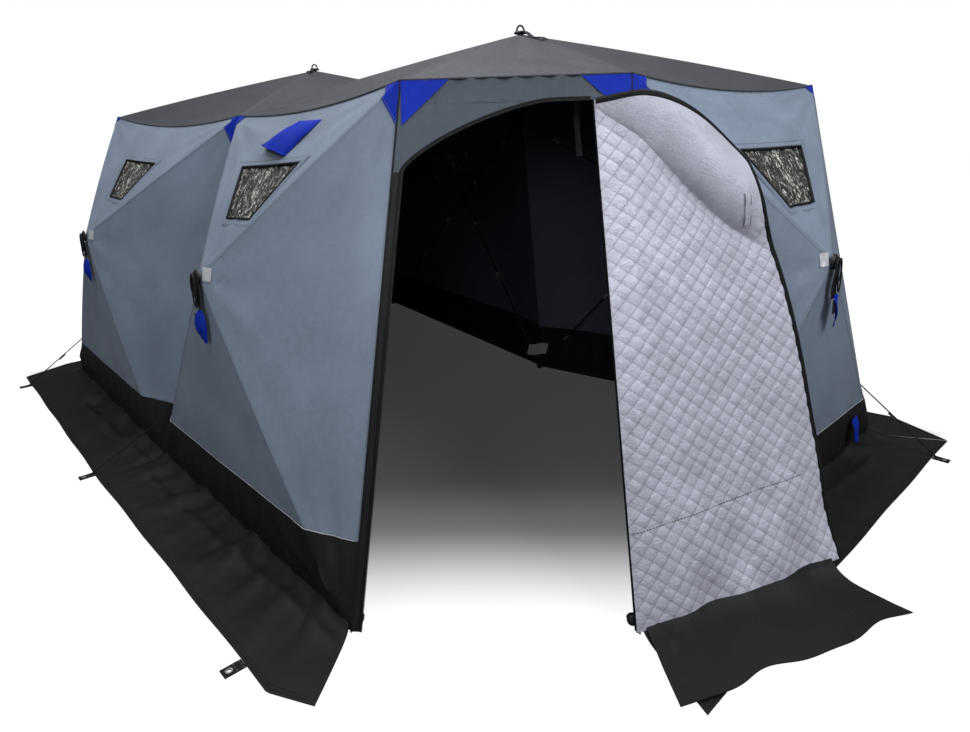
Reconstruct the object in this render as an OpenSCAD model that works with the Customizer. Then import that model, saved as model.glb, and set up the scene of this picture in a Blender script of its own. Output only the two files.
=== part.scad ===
// Pop-up ice fishing hut: two tented bays on hub-and-pole frames with a corner door.
// Millimetres, +Z up, ground at z = 0. The long two-bay front faces -Y, the
// door corner is cut off at +X -Y, and the part origin is the middle of the
// un-cut base rectangle on the ground.

/* [Roof] */
// Length of the roof between its end corners
roof_length = 3850; // [3400:10:4200]
// Depth of the roof between its front and back corners
roof_depth = 1970; // [1700:10:2200]
// Height of the roof corners above the ground
eave_height = 1815; // [1650:5:1950]
// How far the eave is lower where the two bays meet
mid_eave_drop = 65; // [0:5:120]
// Height of the two roof hubs above the ground
apex_height = 2080; // [1980:5:2300]
// Shift of the eave seam between the bays along the length
mid_eave_shift = 50; // [-200:10:200]
// How far each eave sags between its corners
eave_sag = 55; // [0:5:90]
// How far the valley between the two roofs sags
valley_sag = 25; // [0:5:60]

/* [Base] */
// Length of the base between its end corners
base_length = 4390; // [4000:10:4700]
// Depth of the base between its front and back corners
base_depth = 2800; // [2400:10:3100]
// Shift of the front base seam between the bays along the length
front_mid_shift = -300; // [-400:10:400]
// Shift of the back base seam between the bays along the length
back_mid_shift = 200; // [-400:10:400]
// How far the front base seam stands out from the front corners
front_mid_out = 20; // [-200:5:60]
// How far the back base seam is drawn in from the back corners
back_mid_tuck = 400; // [-60:5:450]

/* [Walls] */
// Fabric thickness, shell and lining together
fabric = 8; // [5:0.5:12]
// Height of the wall hubs as a share of the roof corners' height
hub_share = 0.62; // [0.56:0.01:0.68]
// How far the wall hubs are pushed out of their four corners
hub_push = 270; // [180:5:300]
// Outward bow of the pole ridges
ridge_bow = 10; // [0:1:25]
// Slit left along each sewn seam
seam_gap = 0.3; // [0.2:0.1:0.6]
// Height of the black band along the foot of the walls
band_height = 300; // [150:10:400]

/* [Snow skirt] */
// Width of the skirt on the ground
skirt_width = 320; // [200:10:400]
// Thickness of the skirt
skirt_sheet = 5; // [3:0.5:8]
// How far the skirt flares past the square corners
skirt_flare = 190; // [60:10:300]

/* [Windows] */
// Width of a window along its upper edge
window_top = 510; // [360:10:600]
// Width of a window along its lower edge
window_foot = 220; // [120:10:320]
// Height of a window along the slope of its panel
window_tall = 245; // [160:5:280]
// Distance from the eave down to a window
window_drop = 310; // [240:5:340]
// Thickness of the clear pane
pane_sheet = 2; // [1:0.5:4]

/* [Door] */
// How much the door corner takes off the roof rectangle
door_cut_top = 540; // [460:10:600]
// How much the door corner takes off the base rectangle
door_cut_foot = 685; // [620:5:760]
// Height of the fixed fabric above the doorway, along the slope
head_band = 81; // [66:1:160]
// Height of the arch over the doorway
arch_rise = 224; // [180:2:400]
// Width of the fixed zip tape along the left jamb
jamb_strip = 34; // [20:1:60]
// Distance of the hinge seam from the corner edge at the head
hinge_lean = 127; // [80:1:160]
// Distance of the hinge seam from the corner edge at the foot
hinge_inset = 12; // [10:1:30]
// Angle by which the open door bends back round the corner edge
door_bend = 21; // [0:1:22]
// Thickness of the quilted door
door_sheet = 10; // [6:0.5:12]
// Free play round the closed door
door_play = 7; // [6:0.5:12]
// Distance of the hinge axis in front of the corner panel
hinge_stand = 5; // [4:0.5:8]
// Clearance of the door above the ground
door_lift = 14; // [12:1:30]
// Width of the zip tape along the free edge of the door
zip_width = 16; // [10:1:24]
// Reach of the snow flap in front of the open door
flap_reach = 290; // [200:10:320]

/* [Frame] */
// Diameter of the fibreglass poles
pole_diameter = 11; // [8:0.5:14]
// Radius of the hub body inside the fabric
hub_radius = 36; // [30:1:44]
// Radius of the hub stem that passes through the fabric
hub_stem = 14; // [10:0.5:18]
// Radius of the hub cap outside the fabric
hub_cap = 30; // [24:1:40]
// Radius of the pole end sockets
socket_radius = 20; // [16:1:24]

/* [Rigging] */
// Length of the pull straps on the wall hubs
strap_length = 200; // [120:5:260]
// Width of the pull straps
strap_width = 30; // [20:1:40]
// Thickness of the pull straps
strap_sheet = 6; // [4:0.5:8]
// Length of the tabs below the pull straps
tab_length = 100; // [60:5:120]
// Leg of the corner patches
patch_leg = 150; // [110:5:220]
// Thickness of the corner patches
patch_sheet = 2.4; // [1.6:0.2:3.2]
// Width of the vent hood at its mouth
hood_wide = 105; // [85:5:115]
// How far the vent hood stands off the wall at its mouth
hood_deep = 60; // [45:5:75]
// Inner radius of the anchor eyelets
eyelet_radius = 7; // [5:0.5:9]
// Reach of the anchor tabs past the skirt
tab_reach = 70; // [60:2:90]
// Width of the anchor tabs
tab_width = 44; // [36:1:60]
// Diameter of the taut anchor lines
line_diameter = 8; // [5:0.5:12]

/* [Hidden] */
$fn = 48;
// Rows of each bent fabric panel
rows = 6;
// Running clearance between neighbouring solids
slip = 0.3;
// Reach of a cutter past each face that it cuts
over = 1;

// Corners, counter-clockwise from above: 0 front left, 1 front seam,
// 2 door left, 3 door right, 4 back right, 5 back seam, 6 back left
mid_eave_in = 10;
eave = [
    [-roof_length / 2, -roof_depth / 2, eave_height],
    [mid_eave_shift, -roof_depth / 2 + mid_eave_in, eave_height - mid_eave_drop],
    [roof_length / 2 - door_cut_top, -roof_depth / 2, eave_height],
    [roof_length / 2, -roof_depth / 2 + door_cut_top, eave_height],
    [roof_length / 2, roof_depth / 2, eave_height],
    [mid_eave_shift, roof_depth / 2 - mid_eave_in, eave_height - mid_eave_drop],
    [-roof_length / 2, roof_depth / 2, eave_height]
];
foot = [
    [-base_length / 2, -base_depth / 2, 0],
    [front_mid_shift, -base_depth / 2 - front_mid_out, 0],
    [base_length / 2 - door_cut_foot, -base_depth / 2, 0],
    [base_length / 2, -base_depth / 2 + door_cut_foot, 0],
    [base_length / 2, base_depth / 2, 0],
    [back_mid_shift, base_depth / 2 - back_mid_tuck, 0],
    [-base_length / 2, base_depth / 2, 0]
];
// Outward direction of the wall that starts at each corner
facing = [
    [0, -1, 0], [0, -1, 0], [sqrt(0.5), -sqrt(0.5), 0], [1, 0, 0],
    [0, 1, 0], [0, 1, 0], [-1, 0, 0]
];
// Walls with a hub, by their first corner; the door corner has none
walls = [0, 1, 3, 4, 5, 6];
// Corners round each roof, and the tops of the two roofs
roof_rings = [[0, 1, 5, 6], [1, 2, 3, 4, 5]];
apex = [
    [(eave[0].x + eave[1].x) / 2, 0, apex_height],
    [(eave[1].x + eave[4].x) / 2, 0, apex_height]
];

function after(i) = (i + 1) % 7;
function before(i) = (i + 6) % 7;
function unit(v) = v / norm(v);
function mid(a, b) = (a + b) / 2;
function toward(a, b, d) = a + unit(b - a) * d;

// Step inward from a corner that stays a unit away from both walls there
function mitre(i) =
    let (p = facing[before(i)], q = facing[i]) -(p + q) / (1 + p * q);

// Hub of the wall that starts at corner i
hub_height = eave_height * hub_share;
function hub(i) =
    let (m = (eave[i] + eave[after(i)] + foot[i] + foot[after(i)]) / 4,
         h = m + facing[i] * hub_push)
    [h.x, h.y, hub_height];

// Steps from the outer to the inner face at eaves, feet, hubs and roof tops
function eave_step(i, t = fabric) = mitre(i) * t - [0, 0, t];
function foot_step(i, t = fabric) = mitre(i) * t;
function hub_step(i) = -facing[i] * fabric;
roof_step = [0, 0, -fabric];

// Bend at the middle of each kind of edge
straight = [0, 0, 0];
function eave_bend(i) =
    i == 2 ? straight
    : [0, 0, -eave_sag * norm(eave[after(i)] - eave[i]) / (roof_length / 2)];
function ridge_bend(i) = facing[i] * ridge_bow;
roof_bend = [0, 0, ridge_bow];
valley_bend = [0, 0, -valley_sag];

// Panel record: corners, bends of edges 0-1, 1-2 and 2-0, steps inward
function top_panel(i) = let (j = after(i), h = hub(i)) [
    [eave[i], h, eave[j]],
    [ridge_bend(i), ridge_bend(i), eave_bend(i)],
    [eave_step(i), hub_step(i), eave_step(j)]];
function left_panel(i) = let (h = hub(i)) [
    [eave[i], foot[i], h],
    [straight, ridge_bend(i), ridge_bend(i)],
    [eave_step(i), foot_step(i), hub_step(i)]];
function right_panel(i) = let (j = after(i), h = hub(i)) [
    [eave[j], h, foot[j]],
    [ridge_bend(i), ridge_bend(i), straight],
    [eave_step(j), hub_step(i), foot_step(j)]];
function foot_panel(i) = let (j = after(i), h = hub(i)) [
    [h, foot[i], foot[j]],
    [ridge_bend(i), straight, ridge_bend(i)],
    [hub_step(i), foot_step(i), foot_step(j)]];
function roof_panel(k, n) =
    let (ring = roof_rings[k], i = ring[n], j = ring[(n + 1) % len(ring)],
         valley = i + j == 6 && i != 0 && j != 0)
    [[eave[i], eave[j], apex[k]],
     [valley ? valley_bend : eave_bend(i), roof_bend, roof_bend],
     [eave_step(i), eave_step(j), roof_step]];

// Point of a bent triangle at barycentric weights b
function panel_point(c, s, b) =
    c[0] * b[0] + c[1] * b[1] + c[2] * b[2]
    + 4 * b[0] * b[1] * s[0] + 4 * b[1] * b[2] * s[1] + 4 * b[2] * b[0] * s[2];
function cell(n, i, j) = i * (n + 1) - i * (i - 1) / 2 + j;
function altitude(a, b, c) = norm(cross(b - a, c - a)) / norm(c - b);

// Bent fabric panel. The layer runs between two shares of the thickness,
// slit is left free along the edges, and share keeps the part near corner 0
module panel(record, from = 0, to = 1, slit = seam_gap, share = 1, n = rows) {
    c = record[0];
    s = record[1];
    d = record[2];
    g = [slit / altitude(c[0], c[1], c[2]), slit / altitude(c[1], c[2], c[0]),
         slit / altitude(c[2], c[0], c[1])];
    k = 1 - g[0] - g[1] - g[2];
    count = (n + 1) * (n + 2) / 2;
    spots = [for (i = [0:n], j = [0:n - i])
        let (v = g[1] + k * share * j / n, w = g[2] + k * share * (n - i - j) / n)
        [1 - v - w, v, w]];
    points = [for (f = [from, to], b = spots)
        panel_point(c, s, b) + (d[0] * b[0] + d[1] * b[1] + d[2] * b[2]) * f];
    face = concat(
        [for (i = [0:n - 1], j = [0:n - 1 - i])
            [cell(n, i, j), cell(n, i, j + 1), cell(n, i + 1, j)]],
        [for (i = [0:n - 2], j = [0:n - 2 - i])
            [cell(n, i + 1, j), cell(n, i, j + 1), cell(n, i + 1, j + 1)]]);
    back = [for (f = face) [f[0] + count, f[2] + count, f[1] + count]];
    rim = concat([for (j = [0:n]) cell(n, 0, j)],
                 [for (i = [1:n]) cell(n, i, n - i)],
                 [for (i = [1:n - 1]) cell(n, n - i, 0)]);
    sides = [for (m = [0:len(rim) - 1])
        let (p = rim[m], q = rim[(m + 1) % len(rim)])
        each [[p, q + count, p + count], [p, q, q + count]]];
    polyhedron(points, concat(face, back, sides));
}

// Space above or below a level
reach = 4000;
module above(z) {
    translate([-reach, -reach, z]) cube([2 * reach, 2 * reach, reach]);
}
module below(z) {
    translate([-reach, -reach, z - reach]) cube([2 * reach, 2 * reach, reach]);
}

// Turn +Z to a direction, and a rod between two points
module aim(v) {
    u = unit(v);
    rotate([0, acos(u.z), atan2(u.y, u.x)]) children();
}
module rod(a, b, r) {
    translate(a) aim(b - a) cylinder(r = r, h = norm(b - a), $fn = 24);
}

// Frame of the top panel of wall i: x along the eave from its middle, y up
// the slope, z outward
module on_top_panel(i) {
    j = after(i);
    a = unit(eave[j] - eave[i]);
    z = unit(cross(a, mid(eave[i], eave[j]) - hub(i)));
    b = cross(z, a);
    o = mid(eave[i], eave[j]);
    multmatrix([[a.x, b.x, z.x, o.x], [a.y, b.y, z.y, o.y], [a.z, b.z, z.z, o.z]])
        children();
}
window_through = 120;
module window_prism(i, shrink) {
    x0 = window_top / 2 - shrink;
    x1 = window_foot / 2 - shrink;
    y0 = -window_drop - shrink;
    y1 = -window_drop - window_tall + shrink;
    on_top_panel(i) translate([0, 0, -window_through]) linear_extrude(2 * window_through)
        polygon([[-x0, y0], [-x1, y1], [x1, y1], [x0, y0]]);
}
module stem_bore() {
    translate([0, 0, -window_through]) cylinder(r = hub_stem + slip, h = 2 * window_through);
}

// Hub wall: top panel with its window, two side panels and the foot panel
module hub_wall(i) {
    color("slategray") {
        difference() {
            panel(top_panel(i));
            window_prism(i, 0);
            translate(hub(i)) aim(facing[i]) stem_bore();
        }
        for (p = [left_panel(i), right_panel(i), foot_panel(i)])
            difference() {
                intersection() {
                    panel(p);
                    above(band_height + slip / 2);
                }
                translate(hub(i)) aim(facing[i]) stem_bore();
            }
    }
}
pane_depth = 0.3;
module hub_window(i) {
    color("lightsteelblue", 0.5) intersection() {
        panel(top_panel(i), pane_depth, pane_depth + pane_sheet / fabric);
        window_prism(i, slip);
    }
}
module tent_roof(k) {
    color("dimgray") for (n = [0:len(roof_rings[k]) - 1])
        difference() {
            panel(roof_panel(k, n));
            translate(apex[k]) stem_bore();
        }
}

// Black band along the foot of a wall and its skirt on the ground
function run_of(i) = unit(foot[after(i)] - foot[i]);
function out_of(i) = let (r = run_of(i)) [r.y, -r.x, 0];
function seam_flare(k) =
    let (p = run_of(before(k)), q = run_of(k))
    sign(cross(p, q).z) * skirt_width * norm(p - q) / norm(p + q) - slip;
function end_flare(k) =
    (k == 1 || k == 5) ? seam_flare(k)
    : (k == 2 || k == 3) ? skirt_width * tan(22.5) : skirt_flare;
module wall_skirt(i) {
    j = after(i);
    r = run_of(i);
    o = out_of(i);
    lean = (hub(i) - foot[i]) * o / hub_height;
    start = slip + skirt_sheet * max(lean, 0);
    end_trim = 2;
    a = foot[i] + r * end_trim + o * start;
    b = foot[j] - r * end_trim + o * start;
    c = foot[j] + o * skirt_width + r * end_flare(j);
    d = foot[i] + o * skirt_width - r * end_flare(i);
    color("black") {
        for (p = [left_panel(i), right_panel(i), foot_panel(i)])
            intersection() {
                panel(p);
                below(band_height - slip / 2);
            }
        linear_extrude(skirt_sheet)
            polygon([[a.x, a.y], [d.x, d.y], [c.x, c.y], [b.x, b.y]]);
    }
}

// Door corner frame: x from the right corner edge to the left jamb, y up the
// slope, z inward
door_run = norm(foot[2] - foot[3]);
door_rise = norm(eave[3] - foot[3]);
corner_up = unit(eave[3] - foot[3]);
jamb_way = unit(foot[2] - foot[3] - ((foot[2] - foot[3]) * corner_up) * corner_up);
inward = cross(jamb_way, corner_up);
head_run = (eave[2] - foot[3]) * jamb_way;
function door_world(p) = foot[3] + jamb_way * p.x + corner_up * p.y + inward * p.z;
module on_door_corner() {
    o = foot[3];
    multmatrix([[jamb_way.x, corner_up.x, inward.x, o.x],
                [jamb_way.y, corner_up.y, inward.y, o.y],
                [jamb_way.z, corner_up.z, inward.z, o.z]])
        children();
}
door_head = door_rise - head_band;
door_spring = door_head - arch_rise;
function jamb_at(y) = door_run + (head_run - door_run) * y / door_rise;

// Hinge seam, and the crease that lies on the corner edge when the door is open
hinge_tilt = atan2(hinge_lean - hinge_inset, door_head);
edge_play = 1;
crease_tilt = 2 * hinge_tilt;
function hinge_at(y) = hinge_inset + y * tan(hinge_tilt);
function crease_at(y) =
    -edge_play + (y + (edge_play + hinge_inset) / tan(hinge_tilt)) * tan(crease_tilt);

// Arch from the left jamb (first) to the head (last), moved in by s
arch_steps = 12;
arch_power = 1.4;
arch_end = 262;
function arch(s) = [for (k = [0:arch_steps])
    let (a = 90 * k / arch_steps,
         y = door_spring + (door_head - s - door_spring) * pow(sin(a), arch_power))
    [arch_end + (jamb_at(y) - jamb_strip - s - arch_end) * pow(cos(a), arch_power), y]];

// Fixed fabric round the doorway: hinge strip, arched head and jamb tape,
// with mitres where it meets the walls and the roof
surround_sheet = fabric * corner_up.z;
corner_lap = atan2(fabric * tan(22.5) + slip, surround_sheet);
head_lap = atan2(fabric, surround_sheet);
jamb_tilt = atan2(door_run - head_run, door_rise);
surround_lift = 3;
stitch = 1;
module mitred() {
    difference() {
        children();
        translate([seam_gap, 0, 0]) rotate([0, corner_lap, 0])
            translate([-reach, -reach, -reach]) cube([reach, 2 * reach, 2 * reach]);
        translate([door_run - seam_gap, 0, 0]) rotate([0, -corner_lap, jamb_tilt])
            translate([0, -reach, -reach]) cube([reach, 2 * reach, 2 * reach]);
        translate([0, door_rise - seam_gap, 0]) rotate([head_lap, 0, 0])
            translate([-reach, 0, -reach]) cube([2 * reach, reach, 2 * reach]);
    }
}
module door_surround() {
    low = surround_lift;
    top = door_head - slip;
    jamb_top = door_spring - slip;
    head_arch = [for (k = [arch_steps:-1:0]) arch(0)[k]];
    color("slategray") on_door_corner() {
        mitred() linear_extrude(surround_sheet) polygon([
            [0, low], [hinge_at(low) - stitch, low], [hinge_at(top) - stitch, top], [0, top]]);
        mitred() linear_extrude(surround_sheet) polygon(concat(
            [[0, door_rise], [0, door_head]], head_arch,
            [[door_run, door_spring], [door_run, door_rise]]));
        mitred() linear_extrude(surround_sheet) polygon([
            [jamb_at(low) - jamb_strip, low], [door_run, low],
            [door_run, jamb_top], [jamb_at(jamb_top) - jamb_strip, jamb_top]]);
    }
}

// Door: from its closed place it folds back on the hinge seam, and the panel
// bends back a little more at the crease
module about_line(x, z, tilt, angle) {
    translate([x, 0, z]) rotate([0, 0, -tilt]) rotate([0, angle, 0])
        rotate([0, 0, tilt]) translate([-x, 0, -z]) children();
}
module folded() {
    on_door_corner() about_line(hinge_at(0), -hinge_stand, hinge_tilt, 180) children();
}
module swung() {
    folded() about_line(crease_at(0), 0, crease_tilt, door_bend) children();
}
function spin(p, o, axis, angle) =
    let (d = p - o)
    o + d * cos(angle) + cross(axis, d) * sin(angle) + axis * (axis * d) * (1 - cos(angle));
function swung_at(p) =
    door_world(spin(spin(p, [crease_at(0), 0, 0], [sin(crease_tilt), cos(crease_tilt), 0], door_bend),
                    [hinge_at(0), 0, -hinge_stand], [sin(hinge_tilt), cos(hinge_tilt), 0], 180));

door_top = door_head - door_play;
function door_outline(s) = concat(
    [[crease_at(door_lift) + slip / 2, door_lift], [crease_at(door_top - s) + slip / 2, door_top - s]],
    [for (k = [arch_steps - 1:-1:0]) arch(door_play + s)[k]],
    [[jamb_at(door_lift) - jamb_strip - door_play - s, door_lift]]);

// Piping along the hinge seam, between the corner panel and the folded strip
module door_piping() {
    low = [hinge_at(door_lift), door_lift, -hinge_stand];
    top = [hinge_at(door_top), door_top, -hinge_stand];
    color("black") rod(door_world(low), door_world(top), hinge_stand - slip);
}
module door_fold() {
    color("silver") folded() linear_extrude(door_sheet) polygon([
        [hinge_at(door_lift) + stitch, door_lift], [hinge_at(door_top) + stitch, door_top],
        [crease_at(door_top) - slip / 2, door_top], [crease_at(door_lift) - slip / 2, door_lift]]);
}
module door_panel() {
    color("silver") swung() linear_extrude(door_sheet) polygon(door_outline(zip_width + slip));
}
zip_proud = 1;
module door_zip() {
    outer = door_outline(0);
    inner = door_outline(zip_width);
    n = len(outer);
    color("black") swung() translate([0, 0, -zip_proud])
        linear_extrude(door_sheet + 2 * zip_proud)
            polygon(concat([for (k = [1:n - 1]) outer[k]], [for (k = [n - 1:-1:1]) inner[k]]));
}
// Snow flap of the door, from its foot to just over the skirt on the ground
flap_end_trim = 150;
flap_start_trim = 40;
flap_clear = 6;
module door_flap() {
    z = door_sheet + slip;
    x0 = crease_at(door_lift) + flap_start_trim;
    x1 = jamb_at(door_lift) - jamb_strip - flap_end_trim;
    high = door_lift + skirt_sheet + slip;
    a = swung_at([x0, high, z]);
    b = swung_at([x1, high, z]);
    run = unit([b.x - a.x, b.y - a.y, 0]);
    out = [run.y, -run.x, 0];
    ground = [0, 0, 2 * skirt_sheet + flap_clear];
    c = [b.x, b.y, 0] + out * flap_reach + ground;
    d = [a.x, a.y, 0] + out * flap_reach + ground;
    drop = [0, 0, skirt_sheet];
    low = [swung_at([x0, door_lift + slip, z]), swung_at([x1, door_lift + slip, z]), c - drop, d - drop];
    color("black") polyhedron(concat(low, [a, b, c, d]), [
        [0, 1, 2], [0, 2, 3], [4, 6, 5], [4, 7, 6],
        [0, 5, 1], [0, 4, 5], [1, 6, 2], [1, 5, 6],
        [2, 7, 3], [2, 6, 7], [3, 4, 0], [3, 7, 4]]);
}

// Hub: round body inside the fabric, stem through it and cap outside, z outward
hub_half = hub_radius / 2;
cap_foot = 3;
cap_rise = 14;
cap_edge = 6;
function wall_slope(i) =
    let (m = mid(eave[i], eave[after(i)]))
    (hub(i) - m) * facing[i] / (m.z - hub_height - eave_sag);
hub_room = 2;
hub_sink = max([for (i = walls) wall_slope(i)]) * hub_radius * cos(30) + hub_room;
hub_depth = fabric + hub_sink + hub_half;
module hub_piece() {
    rotate_extrude() polygon(concat(
        [[0, -hub_depth - hub_half]],
        [for (a = [-30:6:30]) [hub_radius * cos(a), hub_radius * sin(a) - hub_depth]],
        [[hub_stem, hub_half - hub_depth], [hub_stem, cap_foot], [hub_cap, cap_foot],
         [hub_cap, cap_rise - cap_edge], [hub_cap - cap_edge, cap_rise], [0, cap_rise]]));
}
module pole_hubs() {
    color("black") {
        for (i = walls) translate(hub(i)) aim(facing[i]) hub_piece();
        for (top = apex) translate(top) hub_piece();
    }
}

// Pole end sockets inside the corners
eave_room = 3;
foot_room = 14;
socket_lift = 2;
function eave_socket(i) = eave[i] + eave_step(i, fabric + socket_radius + eave_room);
function foot_socket(i) =
    foot[i] + foot_step(i, fabric + socket_radius + foot_room)
    + [0, 0, socket_radius + socket_lift];
module corner_sockets() {
    color("black") for (i = [0:6], p = [eave_socket(i), foot_socket(i)])
        translate(p) sphere(r = socket_radius, $fn = 24);
}
module spoke(centre, end) {
    v = unit(end - centre);
    rod(centre + v * (hub_radius + slip), end - v * (socket_radius + slip), pole_diameter / 2);
}
module wall_poles(i) {
    c = hub(i) - facing[i] * hub_depth;
    color("darkslategray") for (k = [i, after(i)], p = [eave_socket(k), foot_socket(k)])
        spoke(c, p);
}
module roof_poles(k) {
    c = apex[k] - [0, 0, hub_depth];
    color("darkslategray") for (i = roof_rings[k]) spoke(c, eave_socket(i));
}

// Corner patches below each eave corner, on both walls that meet there
patch_lift = 0.05;
module wall_patch(record) {
    c = record[0];
    share = patch_leg / max(norm(c[1] - c[0]), norm(c[2] - c[0]));
    panel(record, -patch_lift - patch_sheet / fabric, -patch_lift, slit = slip, share = share, n = 2);
}
module head_patch(x, way) {
    y = door_rise - seam_gap;
    lift = patch_lift * fabric;
    on_door_corner() translate([0, 0, -lift - patch_sheet]) linear_extrude(patch_sheet)
        polygon([[x, y], [x + way * patch_leg * 0.8, y], [x, y - patch_leg]]);
}
module corner_patches() {
    color("royalblue") {
        for (i = walls) {
            wall_patch(left_panel(i));
            wall_patch(right_panel(i));
        }
        head_patch(slip, 1);
        head_patch(head_run - slip, -1);
    }
}

// Vent hood on the front right wall: half a tube that opens at its lower end
// and narrows upward, placed by weights on the corners of the top panel
hood_wall = 8;
hood_taper = 0.5;
hood_low = [0.395, 0.275, 0.33];
hood_high = [0.29, 0.12, 0.59];
hood_side = [0.42, 0.12, 0.46];
hood_lift = 1.6;
function front_point(b) = let (r = top_panel(1)) panel_point(r[0], r[1], b);
hood_foot = front_point(hood_low);
hood_way = front_point(hood_high) - hood_foot;
module half_oval(r, h) {
    polygon([for (a = [0:10:180]) [r * cos(a), h * sin(a)]]);
}
module vent_hood() {
    x = unit(hood_way);
    z = unit(cross(x, front_point(hood_side) - hood_foot));
    y = cross(z, x);
    o = hood_foot + z * hood_lift;
    color("royalblue")
        multmatrix([[y.x, z.x, x.x, o.x], [y.y, z.y, x.y, o.y], [y.z, z.z, x.z, o.z]])
            linear_extrude(norm(hood_way), scale = hood_taper) difference() {
                half_oval(hood_wide / 2, hood_deep);
                half_oval(hood_wide / 2 - hood_wall, hood_deep - hood_wall);
            }
}

// Webbing that hangs from the hub caps, and the tabs below it
module on_hub_cap(i) {
    f = facing[i];
    translate(hub(i) + f * (cap_rise + slip)) rotate([0, 0, atan2(f.y, f.x) + 90])
        children();
}
strap_top = 16;
module pull_straps() {
    color("black") for (i = walls) on_hub_cap(i)
        translate([-strap_width / 2, -strap_sheet, strap_top - strap_length])
            cube([strap_width, strap_sheet, strap_length]);
}
tab_more = 5;
tab_proud = 1;
module pull_tabs() {
    wide = strap_width + 2 * tab_more;
    low = strap_top - strap_length - slip - tab_length;
    color("royalblue") for (i = walls) on_hub_cap(i)
        translate([-wide / 2, -strap_sheet - tab_proud, low])
            cube([wide, strap_sheet + 2 * tab_proud, tab_length]);
}

// Anchor points: foot corner, wall whose skirt holds the tab, place along it
anchors = [[0, 0, 0.02], [1, 0, 0.96], [2, 1, 0.93], [4, 3, 0.97], [5, 4, 0.95], [6, 5, 0.97]];
lined = [0, 1, 3];
eyelet_rim = 5;
eyelet_high = 5;
tab_sheet = 4;
tab_end = 22;
function anchor_spot(n) =
    let (w = anchors[n][1])
    foot[w] + (foot[after(w)] - foot[w]) * anchors[n][2]
    + out_of(w) * (skirt_width + slip + tab_reach - tab_end);
module anchor_tabs() {
    color("black") for (n = [0:len(anchors) - 1]) {
        o = out_of(anchors[n][1]);
        translate(anchor_spot(n)) rotate([0, 0, atan2(o.y, o.x)]) difference() {
            translate([tab_end - tab_reach, -tab_width / 2, 0])
                cube([tab_reach, tab_width, tab_sheet]);
            translate([0, 0, -over])
                cylinder(r = eyelet_radius + eyelet_rim + slip / 2, h = tab_sheet + 2 * over);
        }
    }
}
module eyelets() {
    color("silver") for (n = [0:len(anchors) - 1])
        translate(anchor_spot(n)) difference() {
            cylinder(r = eyelet_radius + eyelet_rim, h = eyelet_high);
            translate([0, 0, -over]) cylinder(r = eyelet_radius, h = eyelet_high + 2 * over);
        }
}
// Taut lines from the top of the band at the corners to the anchor tabs
line_back = 34;
module anchor_lines() {
    r = line_diameter / 2;
    color("black") for (n = lined) {
        c = anchors[n][0];
        top = toward(foot[c], eave[c], band_height) - unit(mitre(c)) * (r + slip);
        low = anchor_spot(n) - out_of(anchors[n][1]) * line_back + [0, 0, tab_sheet + r];
        rod(low, top, r);
    }
}

hub_wall(0);  // front_left_wall
hub_wall(1);  // front_right_wall
hub_wall(3);  // right_end_wall
hub_wall(4);  // back_right_wall
hub_wall(5);  // back_left_wall
hub_wall(6);  // left_end_wall
tent_roof(0);  // left_roof
tent_roof(1);  // right_roof
door_surround();
wall_skirt(0);  // front_left_skirt
wall_skirt(1);  // front_right_skirt
wall_skirt(3);  // right_end_skirt
wall_skirt(4);  // back_right_skirt
wall_skirt(5);  // back_left_skirt
wall_skirt(6);  // left_end_skirt
hub_window(0);  // front_left_window
hub_window(1);  // front_right_window
hub_window(3);  // right_end_window
hub_window(4);  // back_right_window
hub_window(5);  // back_left_window
hub_window(6);  // left_end_window
wall_poles(0);  // front_left_poles
wall_poles(1);  // front_right_poles
wall_poles(3);  // right_end_poles
wall_poles(4);  // back_right_poles
wall_poles(5);  // back_left_poles
wall_poles(6);  // left_end_poles
roof_poles(0);  // left_roof_poles
roof_poles(1);  // right_roof_poles
pole_hubs();
corner_sockets();
corner_patches();
vent_hood();
pull_straps();
pull_tabs();
anchor_lines();
anchor_tabs();
eyelets();
door_piping();
door_fold();
door_panel();
door_zip();
door_flap();
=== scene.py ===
"""Dresses the packed ice fishing hut in the part's own frame, in metres.

Stretched cloth goes over the hubs and poles, with a quilted corner door, snow
skirts, clear windows and rigging. Sizes repeat those of the part's source.
"""

from __future__ import annotations

import logging
import math
from dataclasses import dataclass, field
from enum import Enum
from functools import cached_property
from typing import Sequence

import bmesh
import bpy
import numpy as np
from mathutils import Matrix, Vector

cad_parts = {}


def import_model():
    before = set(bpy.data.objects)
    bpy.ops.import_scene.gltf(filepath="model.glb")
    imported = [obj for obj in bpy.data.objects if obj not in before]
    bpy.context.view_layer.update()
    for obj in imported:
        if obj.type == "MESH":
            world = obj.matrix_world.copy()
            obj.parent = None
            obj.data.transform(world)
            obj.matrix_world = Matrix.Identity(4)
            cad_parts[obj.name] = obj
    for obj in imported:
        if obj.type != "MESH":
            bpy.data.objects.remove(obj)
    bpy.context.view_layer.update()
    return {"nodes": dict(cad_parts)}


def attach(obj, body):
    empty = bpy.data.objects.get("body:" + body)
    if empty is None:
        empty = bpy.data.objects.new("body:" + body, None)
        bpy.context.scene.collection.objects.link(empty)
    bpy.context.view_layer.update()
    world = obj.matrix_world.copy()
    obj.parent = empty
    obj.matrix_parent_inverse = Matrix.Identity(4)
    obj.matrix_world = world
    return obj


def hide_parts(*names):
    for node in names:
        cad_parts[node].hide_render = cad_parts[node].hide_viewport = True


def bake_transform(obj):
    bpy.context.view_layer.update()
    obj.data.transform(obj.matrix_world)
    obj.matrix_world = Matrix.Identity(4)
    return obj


LOG = logging.getLogger("hut")
Array = np.ndarray
Colour = tuple[float, float, float]
UP = np.array([0.0, 0.0, 1.0])
CORNERS = 7
STITCH_SPACING, STITCH = 0.011, (0.0065, 0.0014, 0.001)
TOOTH_SPACING = 0.007


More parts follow.
